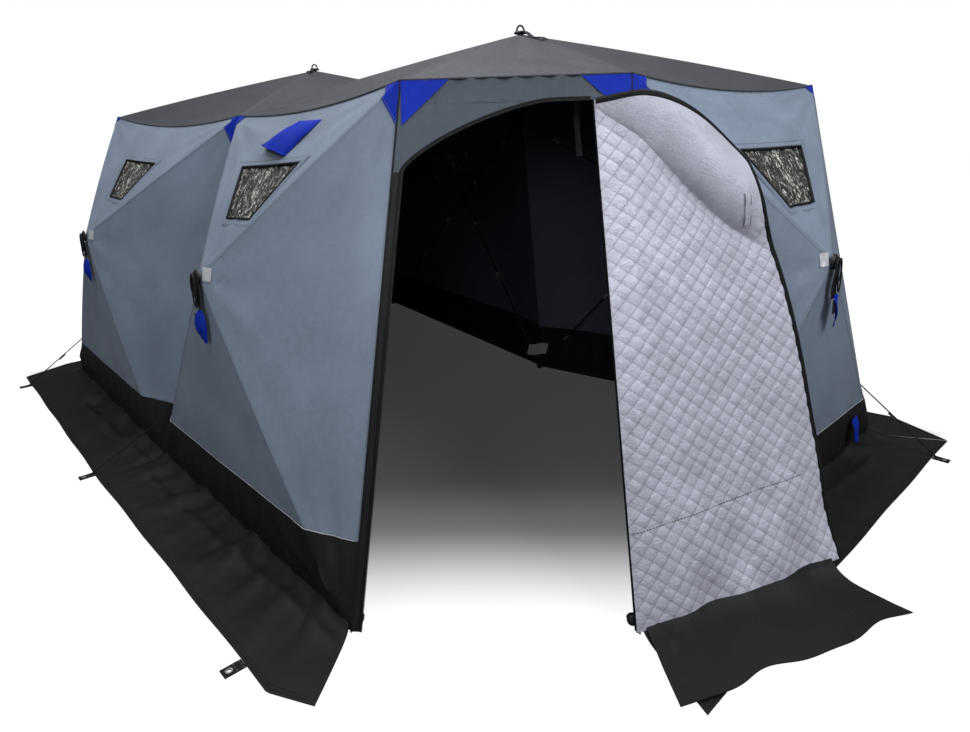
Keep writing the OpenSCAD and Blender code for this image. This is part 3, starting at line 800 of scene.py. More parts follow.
@dataclass(frozen=True)
class Panel:
    """A bent triangle of cloth: corners, bends of its edges and steps inward."""

    corners: Array
    bends: Array
    steps: Array

    def point(self, b: Array) -> Array:
        """Returns the points at corner weights b."""
        pairs = np.stack([b[:, 0] * b[:, 1], b[:, 1] * b[:, 2], b[:, 2] * b[:, 0]], 1)
        return b @ self.corners + 4.0 * pairs @ self.bends

    def normal(self, b: Array) -> Array:
        """Returns the outward normals at corner weights b."""
        h = 1e-4
        du = self.point(b + [h, -h, 0.0]) - self.point(b - [h, -h, 0.0])
        dv = self.point(b + [h, 0.0, -h]) - self.point(b - [h, 0.0, -h])
        n = unit(np.cross(du, dv))
        return n if float(n[0] @ self.steps.sum(0)) < 0 else -n

    def edge_room(self, b: Array) -> Array:
        """Returns the distance of corner weights b from the nearest edge."""
        a = self.corners
        area = np.linalg.norm(np.cross(a[1] - a[0], a[2] - a[0]))
        tall = [area / np.linalg.norm(a[(k + 2) % 3] - a[(k + 1) % 3]) for k in range(3)]
        return np.min(b * np.array(tall), axis=1)

    def flat(self, points: Array) -> Array:
        """Returns UVs in metres on the triangle's own plane."""
        x = unit(self.corners[1] - self.corners[0])
        z = unit(np.cross(x, self.corners[2] - self.corners[0]))
        d = points - self.corners[0]
        return np.stack([d @ x, d @ np.cross(z, x)], 1)

    def pull(self, b: Array, seed: float, height: float, waves: float = 2.6) -> Array:
        """Returns how far the cloth stands out in wrinkles that run to its corners.

        Args:
            b: corner weights.
            seed: phase of this panel's wrinkles.
            height: height of a wrinkle.
            waves: wrinkles across a corner.

        Returns:
            A height for each point, none on the edges.
        """
        p = self.point(b)
        total = np.zeros(len(b))
        for k in range(3):
            m, n = (k + 1) % 3, (k + 2) % 3
            away = np.linalg.norm(p - self.corners[k], axis=1)
            share = b[:, n] / (b[:, m] + b[:, n] + 1e-6)
            phase = seed * (1.7 + k) + 0.25 * np.sin(7.0 * away + seed)
            crest = np.sin(2 * math.pi * (waves * share) + phase * 2.1)
            total += crest * np.exp(-away / 0.42) * smooth(away / 0.12)
        slack = (np.sin(p[:, 0] * 5.1 + p[:, 2] * 6.3 + seed)
                 * np.sin(p[:, 1] * 6.7 - p[:, 2] * 3.9 + 2 * seed))
        return height * (total + 0.55 * slack) * smooth(self.edge_room(b) / 0.09)


def triangle(n: int) -> tuple[Array, list[tuple[int, int, int]]]:
    """Returns corner weights and faces of a triangle cut into n rows."""
    weights, start = [], []
    for i in range(n + 1):
        start.append(len(weights))
        weights += [(i / n, j / n, (n - i - j) / n) for j in range(n + 1 - i)]
    faces = []
    for i in range(n):
        for j in range(n - i):
            a, c = start[i] + j, start[i + 1] + j
            faces.append((a, a + 1, c))
            if j < n - i - 1:
                faces.append((c, a + 1, c + 1))
    return np.array(weights), faces


def clipped(corners: Array, height: float, above: bool) -> float:
    """Returns the area of the part of a flat triangle above or below a height."""
    kept, way = [], 1.0 if above else -1.0
    for a, b in zip(corners, np.roll(corners, -1, axis=0)):
        p, q = way * (a[2] - height), way * (b[2] - height)
        if p >= 0:
            kept.append(a)
        if p * q < 0:
            kept.append(a + (b - a) * p / (p - q))
    fan = [np.cross(q - kept[0], r - kept[0]) for q, r in zip(kept[1:], kept[2:])]
    return float(sum(np.linalg.norm(v) for v in fan) / 2)


@dataclass(frozen=True)
class Plan:
    """Corners, hubs and panels of the hut, repeated from the part's source."""

    roof_length: float = 3.85
    roof_depth: float = 1.97
    eave_height: float = 1.815
    mid_eave_drop: float = 0.065
    mid_eave_in: float = 0.01
    apex_height: float = 2.08
    mid_eave_shift: float = 0.05
    eave_sag: float = 0.055
    valley_sag: float = 0.025
    base_length: float = 4.39
    base_depth: float = 2.8
    front_mid_shift: float = -0.3
    back_mid_shift: float = 0.2
    front_mid_out: float = 0.02
    back_mid_tuck: float = 0.4
    fabric: float = 0.008
    hub_share: float = 0.62
    hub_push: float = 0.27
    ridge_bow: float = 0.01
    band_height: float = 0.3
    door_cut_top: float = 0.54
    door_cut_foot: float = 0.685

    WALLS = {0: "front_left", 1: "front_right", 3: "right_end",
             4: "back_right", 5: "back_left", 6: "left_end"}
    RINGS = ((0, 1, 5, 6), (1, 2, 3, 4, 5))

    @cached_property
    def eave(self) -> Array:
        """Returns the seven roof corners."""
        x, y, z = self.roof_length / 2, self.roof_depth / 2, self.eave_height
        m, low, inside = self.mid_eave_shift, z - self.mid_eave_drop, y - self.mid_eave_in
        return np.array([(-x, -y, z), (m, -inside, low), (x - self.door_cut_top, -y, z),
                         (x, self.door_cut_top - y, z), (x, y, z), (m, inside, low), (-x, y, z)])

    @cached_property
    def foot(self) -> Array:
        """Returns the seven feet of the walls."""
        x, y, cut = self.base_length / 2, self.base_depth / 2, self.door_cut_foot
        return np.array([(-x, -y, 0), (self.front_mid_shift, -y - self.front_mid_out, 0),
                         (x - cut, -y, 0), (x, cut - y, 0), (x, y, 0),
                         (self.back_mid_shift, y - self.back_mid_tuck, 0), (-x, y, 0)], float)

    @cached_property
    def facing(self) -> Array:
        """Returns the outward direction of the wall that starts at each corner."""
        r = math.sqrt(0.5)
        return np.array([(0, -1, 0), (0, -1, 0), (r, -r, 0), (1, 0, 0), (0, 1, 0), (0, 1, 0),
                         (-1, 0, 0)], float)

    @cached_property
    def apex(self) -> Array:
        """Returns the tops of the two roofs."""
        e = self.eave
        return np.array([((e[0, 0] + e[1, 0]) / 2, 0, self.apex_height),
                         ((e[1, 0] + e[4, 0]) / 2, 0, self.apex_height)])

    def hub(self, i: int) -> Array:
        """Returns the hub of the wall that starts at corner i."""
        j = after(i)
        m = (self.eave[i] + self.eave[j] + self.foot[i] + self.foot[j]) / 4
        h = m + self.facing[i] * self.hub_push
        return np.array([h[0], h[1], self.eave_height * self.hub_share])

    def mitre(self, i: int) -> Array:
        """Returns the step inward that stays a unit from both walls at a corner."""
        p, q = self.facing[after(i, -1)], self.facing[i]
        return -(p + q) / (1 + p @ q)

    def eave_step(self, i: int) -> Array:
        """Returns the step through the cloth at a roof corner."""
        return self.mitre(i) * self.fabric - UP * self.fabric

    def eave_bend(self, i: int) -> Array:
        """Returns the sag of the eave that starts at corner i."""
        if i == 2:
            return np.zeros(3)
        span = np.linalg.norm(self.eave[after(i)] - self.eave[i])
        return -UP * self.eave_sag * span / (self.roof_length / 2)

    def wall_panels(self, i: int) -> list[Panel]:
        """Returns the top, left, right and foot panels of a wall."""
        j, h, e, f = after(i), self.hub(i), self.eave, self.foot
        bow, none = self.facing[i] * self.ridge_bow, np.zeros(3)
        hs, ei, ej = -self.facing[i] * self.fabric, self.eave_step(i), self.eave_step(j)
        fi, fj = self.mitre(i) * self.fabric, self.mitre(j) * self.fabric
        rows = [((e[i], h, e[j]), (bow, bow, self.eave_bend(i)), (ei, hs, ej)),
                ((e[i], f[i], h), (none, bow, bow), (ei, fi, hs)),
                ((e[j], h, f[j]), (bow, bow, none), (ej, hs, fj)),
                ((h, f[i], f[j]), (bow, none, bow), (hs, fi, fj))]
        return [Panel(*(np.array(a) for a in row)) for row in rows]

    def cut(self, i: int, above: bool) -> float:
        """Returns the flat area of a wall's panels above or below the top of its band."""
        return sum(clipped(p.corners, self.band_height, above) for p in self.wall_panels(i))

    def slopes(self, i: int) -> tuple[float, float]:
        """Returns the lengths up the middle of a wall over its hub: its band's, and the rest."""
        j, h = after(i), self.hub(i)
        low = float(np.linalg.norm(h - (self.foot[i] + self.foot[j]) / 2))
        high = float(np.linalg.norm(h - (self.eave[i] + self.eave[j]) / 2))
        band = low * self.band_height / h[2]
        return band, low - band + high

    def span(self, i: int) -> float:
        """Returns the length of a wall along its foot."""
        return float(np.linalg.norm(self.foot[after(i)] - self.foot[i]))

    def roof_cut(self, k: int) -> tuple[tuple[float, float], float]:
        """Returns the flat size and area of a roof's panels, unfolded."""
        ring = self.eave[list(self.RINGS[k])]
        wide, deep, _ = np.ptp(ring, axis=0) / 2
        rise = self.apex_height - ring[:, 2].mean()
        area = sum(clipped(p.corners, 0.0, True) for p in self.roof_panels(k))
        return (2 * math.hypot(wide, rise), 2 * math.hypot(deep, rise)), area

    def roof_panels(self, k: int) -> list[Panel]:
        """Returns the panels of a roof."""
        ring, found = self.RINGS[k], []
        for n, i in enumerate(ring):
            j = ring[(n + 1) % len(ring)]
            valley = {i, j} == {1, 5}
            bend = -UP * self.valley_sag if valley else self.eave_bend(i)
            bow = UP * self.ridge_bow
            found.append(Panel(np.array([self.eave[i], self.eave[j], self.apex[k]]),
                               np.array([bend, bow, bow]),
                               np.array([self.eave_step(i), self.eave_step(j), -UP * self.fabric])))
        return found

    def run_of(self, i: int) -> Array:
        """Returns the direction of the foot of a wall."""
        return unit(self.foot[after(i)] - self.foot[i])

    def out_of(self, i: int) -> Array:
        """Returns the level direction out of the foot of a wall."""
        r = self.run_of(i)
        return np.array([r[1], -r[0], 0.0])

    def top_frame(self, i: int) -> tuple[Array, Array, Array, Array]:
        """Returns the origin and axes of a top panel: along, up the slope and outward."""
        j = after(i)
        o = (self.eave[i] + self.eave[j]) / 2
        a = unit(self.eave[j] - self.eave[i])
        z = unit(np.cross(a, o - self.hub(i)))
        return o, a, np.cross(z, a), z

    def on_top(self, i: int, xy: Array, lift: float) -> tuple[Array, Array]:
        """Puts flat points of a top panel's frame on its bent surface.

        Args:
            i: the wall.
            xy: points along the eave and up the slope, from the eave's middle.
            lift: height above the cloth.

        Returns:
            The points and their normals.
        """
        panel = self.wall_panels(i)[0]
        o, a, b, _ = self.top_frame(i)
        half = np.linalg.norm(self.eave[after(i)] - self.eave[i]) / 2
        h = self.hub(i) - o
        hx, hy = h @ a, h @ b
        aim = xy.copy()
        for _ in range(6):
            w1 = aim[:, 1] / hy
            gap = (aim[:, 0] - w1 * hx) / half
            w = np.stack([(1 - w1 - gap) / 2, w1, (1 - w1 + gap) / 2], 1)
            p = panel.point(w) - o
            aim += xy - np.stack([p @ a, p @ b], 1)
        n = panel.normal(w)
        return panel.point(w) + n * lift, n


def ride(piece: bpy.types.Object, body: Body, slot: Slot, *nodes: str) -> bpy.types.Object:
    """Sets a piece on its body and hides the nodes that it stands for."""
    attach(piece, body.value)
    if nodes:
        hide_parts(*nodes)
    LOG.info("%s: %d faces", piece.name, len(piece.data.polygons))
    return piece


def under(width: Array, y: Array) -> float:
    """Returns the area of a flat cut of cloth by its widths at rising heights."""
    return float(np.sum((width[1:] + width[:-1]) / 2 * np.diff(y)))


def declare(piece: bpy.types.Object, flat: tuple[float, float], area: float, held: str,
            rests_on: Sequence[str]) -> None:
    """Declares a sheet of cloth by the plan's cut for it, not by its own mesh.

    Args:
        piece: the sheet.
        flat: width and length of the rectangle that its cut comes out of.
        area: area of the cut.
        held: its way of lying; not used.
        rests_on: what carries it; not used.
    """
    LOG.info("%s: cut %.3f x %.3f m, %.4f m2", piece.name, *flat, area)


# Sub-assemblies


@dataclass
class Windows:
    """Clear films in the top panels, with piping, a stitched border and a hem."""

    plan: Plan
    finishes: Finishes
    top: float = 0.51
    foot: float = 0.22
    tall: float = 0.245
    drop: float = 0.31
    border: float = 0.034
    piping: float = 0.0055
    film_depth: float = 0.003
    film_sheet: float = 0.0008
    film_play: float = 0.0005
    folds: int = 26
    columns: int = 72
    rows: int = 40

    def outline(self, grow: float) -> Array:
        """Returns the window's outline in its panel's frame, moved out by grow."""
        slant = math.hypot((self.top - self.foot) / 2, self.tall)
        lean = (self.top - self.foot) / 2 / self.tall
        wide = slant / self.tall
        y0, y1 = -self.drop + grow, -self.drop - self.tall - grow
        x0 = self.top / 2 + grow * wide + grow * lean
        x1 = self.foot / 2 + grow * wide - grow * lean
        return np.array([(-x0, y0), (-x1, y1), (x1, y1), (x0, y0)])

    def loop(self, i: int, grow: float, lift: float, steps: int = 24) -> tuple[Array, Array]:
        """Returns a closed line round a window on the cloth, and its normals."""
        corners = self.outline(grow)
        t = np.linspace(0, 1, steps, endpoint=False)[:, None]
        flat = np.concatenate([a + (b - a) * t for a, b in zip(corners, np.roll(corners, -1, 0))])
        return self.plan.on_top(i, np.concatenate([flat, flat[:1]]), lift)

    def cut(self, bm: bmesh.types.BMesh, i: int) -> None:
        """Cuts the window's hole in a top panel."""
        o, a, b, z = self.plan.top_frame(i)
        corners = self.outline(0.0)
        world = o + corners[:, :1] * a + corners[:, 1:] * b
        middle = world.mean(0)
        planes = []
        for p, q in zip(world, np.roll(world, -1, 0)):
            n = unit(np.cross(q - p, z))
            planes.append((p, n if n @ (middle - p) < 0 else -n))
        for p, n in planes:
            bmesh.ops.bisect_plane(bm, geom=bm.verts[:] + bm.edges[:] + bm.faces[:], dist=1e-6,
                                   plane_co=Vector(p), plane_no=Vector(n))
        inside = [f for f in bm.faces
                  if all((np.array(f.calc_center_median()) - p) @ n < 0 for p, n in planes)]
        bmesh.ops.delete(bm, geom=inside, context="FACES")

    def film(self, i: int, name: str) -> None:
        """Builds one window's film, crinkled between its edges."""
        edge = self.outline(-self.film_play)
        top, foot = edge[[0, 3]], edge[[1, 2]]
        u, v = lattice(self.rows, self.columns)
        upper, lower = top[0] + (top[1] - top[0]) * u, foot[0] + (foot[1] - foot[0]) * u
        flat = lower + (upper - lower) * v
        points, normals = self.plan.on_top(i, flat, -self.film_depth)
        draw = np.random.default_rng(40 + i)
        height = np.zeros(len(flat))
        for _ in range(self.folds):
            way, k = draw.uniform(0, math.pi), draw.uniform(60, 210)
            phase, bend = draw.uniform(0, 6.3), draw.uniform(0.5, 2.0)
            d = flat[:, 0] * math.cos(way) + flat[:, 1] * math.sin(way)
            e = flat[:, 1] * math.cos(way) - flat[:, 0] * math.sin(way)
            height += np.abs(np.sin(d * k / 2 + phase + bend * np.sin(e * 23))) / k
        room = np.minimum(np.minimum(u, 1 - u), np.minimum(v, 1 - v))[:, 0]
        height = (height - height.mean()) * 0.06 * smooth(room / 0.04)
        stock = Stock()
        stock.add(points + normals * height[:, None], grid(self.rows, self.columns), flat)
        made = stock.piece(f"{name}_film", self.finishes.get("film"), crease=60)
        ride(thicken(made, self.film_sheet), Body.HUT, Slot.FILM, f"{name}_window")

    def build(self, stitches: Rows) -> None:
        """Builds every window's film, piping and border.

        Args:
            stitches: rows that the border's stitching is added to.
        """
        piping, borders = Stock(), Stock()
        for i, name in self.plan.WALLS.items():
            self.film(i, name)
            line, _ = self.loop(i, 0.001, 0.001)
            tube(piping, line, self.piping)
            inner, _ = self.loop(i, 0.002, 0.0016)
            middle, _ = self.loop(i, self.border / 2, 0.0026)
            outer, _ = self.loop(i, self.border, 0.0004)
            points = np.stack([inner, middle, outer])
            around = length_along(outer)
            uv = np.stack([np.tile(around, 3), np.repeat([0, 0.5, 1], len(outer)) * self.border], 1)
            faces = [f[::-1] for f in grid(3, len(outer))]
            borders.add(points.reshape(-1, 3), faces, uv)
            for inset in (0.25, 0.8):
                stitches.add(*self.loop(i, self.border * inset, 0.0034))
        self.finishes.fit(piping, "window_piping", "tape", Slot.ZIP)
        self.finishes.fit(borders, "window_borders", "wall", Slot.WALL)


@dataclass
class Shell:
    """Walls and roofs: one stretched sheet for each, cut from bent panels."""

    plan: Plan
    finishes: Finishes
    windows: Windows
    cuts: int = 52
    sheet: float = 0.004
    wrinkle: float = 0.0042
    second_valley: tuple[int, int] = (1, 4)
    eave_piping: float = 0.0042
    corner_piping: float = 0.0035
    roof_inset: float = 0.009
    wall_inset: float = 0.008

    def panel_mesh(self, panel: Panel, seed: float, height: float) -> bpy.types.Mesh:
        """Returns one panel with its wrinkles, as a mesh."""
        b, faces = triangle(self.cuts)
        n = panel.normal(b)
        points = panel.point(b) + n * panel.pull(b, seed, height)[:, None]
        stock = Stock()
        stock.add(points, looking(faces, points, n[0]), panel.flat(points) + seed)
        return stock.mesh("panel")

    def join(self, meshes: Sequence[bpy.types.Mesh], name: str) -> bpy.types.Mesh:
        """Sews meshes into one along their shared edges."""
        bm = bmesh.new()
        for mesh in meshes:
            bm.from_mesh(mesh)
            bpy.data.meshes.remove(mesh)
        bmesh.ops.remove_doubles(bm, verts=bm.verts[:], dist=2e-4)
        made = bpy.data.meshes.new(name)
        bm.to_mesh(made)
        bm.free()
        return made

    def trimmed(self, mesh: bpy.types.Mesh, above: bool) -> bpy.types.Mesh:
        """Returns the part of a mesh above or below the top of the foot band."""
        bm = bmesh.new()
        bm.from_mesh(mesh)
        bmesh.ops.bisect_plane(bm, geom=bm.verts[:] + bm.edges[:] + bm.faces[:], dist=1e-6,
                               plane_co=(0, 0, self.plan.band_height), plane_no=(0, 0, 1),
                               clear_inner=above, clear_outer=not above)
        made = bpy.data.meshes.new("trimmed")
        bm.to_mesh(made)
        bm.free()
        return made

    def wall(self, i: int, name: str) -> bpy.types.Mesh:
        """Builds a wall and returns the mesh of its foot band."""
        panels = self.plan.wall_panels(i)
        meshes = [self.panel_mesh(p, 1.3 * i + 0.7 * k, self.wrinkle) for k, p in enumerate(panels)]
        bm = bmesh.new()
        bm.from_mesh(meshes[0])
        self.windows.cut(bm, i)
        bm.to_mesh(meshes[0])
        bm.free()
        upper = [meshes[0]] + [self.trimmed(m, True) for m in meshes[1:]]
        lower = [self.trimmed(m, False) for m in meshes[1:]]
        for mesh in meshes[1:]:
            bpy.data.meshes.remove(mesh)
        made = link_piece(f"{name}_cloth", self.join(upper, name),
                          [self.finishes.get("wall"), self.finishes.get("inside")], 12)
        thicken(made, self.sheet, 1, 0, 12)
        ride(made, Body.HUT, Slot.WALL, f"{name}_wall")
        opening = self.windows.tall * (self.windows.top + self.windows.foot) / 2
        declare(made, (self.plan.span(i), self.plan.slopes(i)[1]), self.plan.cut(i, True) - opening,
                "stretched", [f"{name}_poles", "pole_hubs"])
        return self.join(lower, f"{name}_band")

    def roof(self, k: int, name: str) -> None:
        """Builds a roof."""
        panels = self.plan.roof_panels(k)
        meshes = [self.panel_mesh(p, 11.0 + 3.1 * k + 0.9 * n, self.wrinkle * 1.1)
                  for n, p in enumerate(panels)]
        made = link_piece(f"{name}_cloth", self.join(meshes, name),
                          [self.finishes.get("roof"), self.finishes.get("inside")], 9)
        thicken(made, self.sheet, 1, 0, 9)
        ride(made, Body.HUT, Slot.ROOF, name)
        declare(made, *self.plan.roof_cut(k), "stretched", [f"{name}_poles", "pole_hubs"])

    def seams(self, stitches: Rows) -> None:
        """Builds the piping along the eaves and ridges, and their rows of stitches.

        Args:
            stitches: rows that the seams' stitching is added to.
        """
        eaves, ridges = Stock(), Stock()
        t = np.linspace(0, 1, 40)
        edge = np.stack([t, 1 - t, 0 * t], 1)
        for k in range(2):
            for n, panel in enumerate(self.plan.roof_panels(k)):
                line, normals = panel.point(edge), panel.normal(edge)
                if (k, n) != self.second_valley:
                    tube(eaves, line + normals * 0.001, self.eave_piping, 6)
                self.rows(stitches, panel, self.roof_inset)
        for i in self.plan.WALLS:
            for panel in self.plan.wall_panels(i):
                self.rows(stitches, panel, self.wall_inset)
        for i in range(CORNERS):
            corner = self.plan.eave[i] + (self.plan.foot[i] - self.plan.eave[i]) * t[:, None]
            tube(ridges, corner - self.plan.mitre(i) * 0.0005, self.corner_piping, 6)
        self.finishes.fit(eaves, "eave_piping", "roof", Slot.ROOF)
        self.finishes.fit(ridges, "corner_piping", "skirt", Slot.SKIRT)

    def rows(self, stitches: Rows, panel: Panel, inset: float) -> None:
        """Adds a row of stitches inside each edge of a panel, over the foot band."""
        t = np.linspace(0.012, 0.988, 40)
        a = panel.corners
        area = np.linalg.norm(np.cross(a[1] - a[0], a[2] - a[0]))
        for k in range(3):
            m, n = (k + 1) % 3, (k + 2) % 3
            w = np.zeros((len(t), 3))
            w[:, k] = inset * np.linalg.norm(a[n] - a[m]) / area
            w[:, m], w[:, n] = (1 - w[:, k]) * t, (1 - w[:, k]) * (1 - t)
            normals = panel.normal(w)
            line = panel.point(w) + normals * 0.0005
            keep = line[:, 2] > self.plan.band_height
            if keep.sum() > 2:
                stitches.add(line[keep], normals[keep])


@dataclass
class Skirts:
    """Black foot bands and the snow skirts that lie on the ground."""

    plan: Plan
    finishes: Finishes
    width: float = 0.32
    flare: float = 0.19
    turned: tuple[tuple[int, int, float, float], ...] = (
        (1, 2, 0.053, 0.079), (6, 0, 0.122, 0.118), (4, 4, 0.157, 0.188))
    piped: tuple[int, ...] = (1, 3)
    gap: float = 0.002
    off: float = 0.004
    ground: float = 0.0035
    turned_share: float = 0.05
    sheet: float = 0.003
    columns: int = 150
    rows: int = 26

    def end_flare(self, k: int) -> float:
        """Returns how far a skirt runs past corner k at its outer edge."""
        if k in (1, 5):
            p, q = self.plan.run_of(after(k, -1)), self.plan.run_of(k)
            turn = np.sign(np.cross(p, q)[2])
            return float(turn * self.width * np.linalg.norm(p - q) / np.linalg.norm(p + q)) - 0.0003
        return self.width * math.tan(math.radians(22.5)) if k in (2, 3) else self.flare

    def flap(self, i: int) -> tuple[Array, Array]:
        """Returns the points of a skirt on the ground, with its ripples, and their UVs."""
        j = after(i)
        r, o, f = self.plan.run_of(i), self.plan.out_of(i), self.plan.foot
        a, b = f[i] + r * self.gap + o * self.off, f[j] - r * self.gap + o * self.off
        c = f[j] + o * self.width + r * self.end_flare(j)
        d = f[i] + o * self.width - r * self.end_flare(i)
        u, v = lattice(self.rows, self.columns)
        points = (a + (b - a) * u) * (1 - v) + (d + (c - d) * u) * v
        span = float(np.linalg.norm(b - a))
        x, y = u[:, 0] * span, v[:, 0] * self.width
        draw = np.random.default_rng(70 + i)
        ripple = np.zeros(len(points))
        for _ in range(10):
            k, phase, lean = draw.uniform(8, 34), draw.uniform(0, 6.3), draw.uniform(-16, 16)
            local = bell(x - draw.uniform(0, span), 0.4)
            ripple += (0.35 + local) * np.maximum(np.sin(k * x + lean * y + phase), -0.15) / k
        long_fold = 0.009 * bell(y - 0.11 - 0.03 * np.sin(2.1 * x + i), 0.022)
        rise = (0.4 + 0.6 * bell(y - 0.06, 0.09)) * smooth((1 - v[:, 0]) / 0.3)
        ends = smooth(np.minimum(u, 1 - u)[:, 0] / 0.03)
        low = self.ground + (np.maximum(0.17 * ripple + 0.003, 0.0) * rise + long_fold) * ends
        for wall, corner, past, short in self.turned:
            if wall == i:
                way, left = (1.0, 1 - u) if corner == j else (-1.0, u)
                near = v * np.clip(1 - left / self.turned_share, 0, 1)
                points = points + near * (r * way * past - o * short)
        wave = 0.002 * np.sin(11 * x + i) * smooth((v[:, 0] - 0.7) / 0.3)
        points = points + o * wave[:, None]
        points[:, 2] = low + 0.03 * np.exp(-y / 0.028)
        return points, np.stack([x, y], 1)

    def band_top(self, band: bpy.types.Mesh, i: int) -> tuple[Array, Array]:
        """Returns a line just over a foot band, and the direction out of it."""
        p = np.array([v.co for v in band.vertices if abs(v.co.z - self.plan.band_height) < 1e-4])
        p = p[np.argsort(p @ self.plan.run_of(i))]
        out = self.plan.out_of(i)
        return p[::2] + UP * 0.006 + out * 0.0012, out

    def build(self, i: int, name: str, band: bpy.types.Mesh, stitches: Rows, hems: Rows) -> None:
        """Builds a wall's foot band and skirt as one piece.

        Args:
            i: the wall.
            name: its name.
            band: the mesh of its foot band.
            stitches: rows that the stitching over the band is added to.
            hems: rows that the hem's dark stitching is added to.
        """
        self.gather(band, i)
        line, out = self.band_top(band, i)
        stitches.add(line, out)
        if i in self.piped:
            edge = Stock()
            ribbon(edge, line - UP * 0.004 + out * 0.002, out, 0.0042, 0.0014)
            self.finishes.fit(edge, f"{name}_band_piping", "patch", Slot.WALL)
        points, uv = self.flap(i)
        stock = Stock()
        stock.add(points, [f[::-1] for f in grid(self.rows, self.columns)], uv)
        flap = stock.mesh("flap")
        bm = bmesh.new()
        for mesh in (band, flap):
            bm.from_mesh(mesh)
            bpy.data.meshes.remove(mesh)
        whole = bpy.data.meshes.new(f"{name}_skirt_cloth")
        bm.to_mesh(whole)
        bm.free()
        made = link_piece(f"{name}_skirt_cloth", whole, [self.finishes.get("skirt")], 40)
        thicken(made, self.sheet, crease=40)
        ride(made, Body.HUT, Slot.SKIRT, f"{name}_skirt")
        inner = self.plan.span(i)
        outer = inner + self.end_flare(i) + self.end_flare(after(i))
        declare(made, (max(inner, outer), self.plan.slopes(i)[0] + self.width),
                self.plan.cut(i, False) + (inner + outer) / 2 * self.width, "laid", ["ground"])
        for share in (0.965, 0.93):
            row = points.reshape(self.rows, self.columns, 3)
            k = share * (self.rows - 1)
            line = row[int(k)] * (1 - k % 1) + row[int(k) + 1] * (k % 1)
            hems.add(line[::3] + UP * 0.0006, UP)

    def gather(self, band: bpy.types.Mesh, i: int) -> None:
        """Gathers a foot band in upright folds that die out at its upper edge."""
        co = np.empty(len(band.vertices) * 3, np.float32)
        band.vertices.foreach_get("co", co)
        p = co.reshape(-1, 3).astype(float)
        r, o = self.plan.run_of(i), self.plan.out_of(i)
        span = self.plan.span(i)
        x = (p - self.plan.foot[i]) @ r
        z = p[:, 2] / self.plan.band_height
        ends = smooth(np.minimum(x, span - x) / 0.1)
        corner = np.exp(-np.minimum(x, span - x) / 0.3)
        fold = (np.sin(34 * x + 3 * np.sin(5 * x + i)) + 0.6 * np.sin(71 * x + 2.0 * z))
        belly = np.sin(math.pi * np.clip(z, 0, 1))
        out = (0.0035 + 0.006 * corner) * fold * belly * ends + 0.006 * belly * ends
        if i == 1:
            turn = np.arctan2(p[:, 2], np.maximum(span - x, 0.001))
            reach = bell(np.hypot(span - x, p[:, 2]), 0.5)
            out += 0.0055 * np.sin(30 * turn) * reach * belly * ends
        p += o * out[:, None]
        p[:, 2] += 0.0025 * (1 - z)
        band.vertices.foreach_set("co", p.astype(np.float32).ravel())
        band.update()


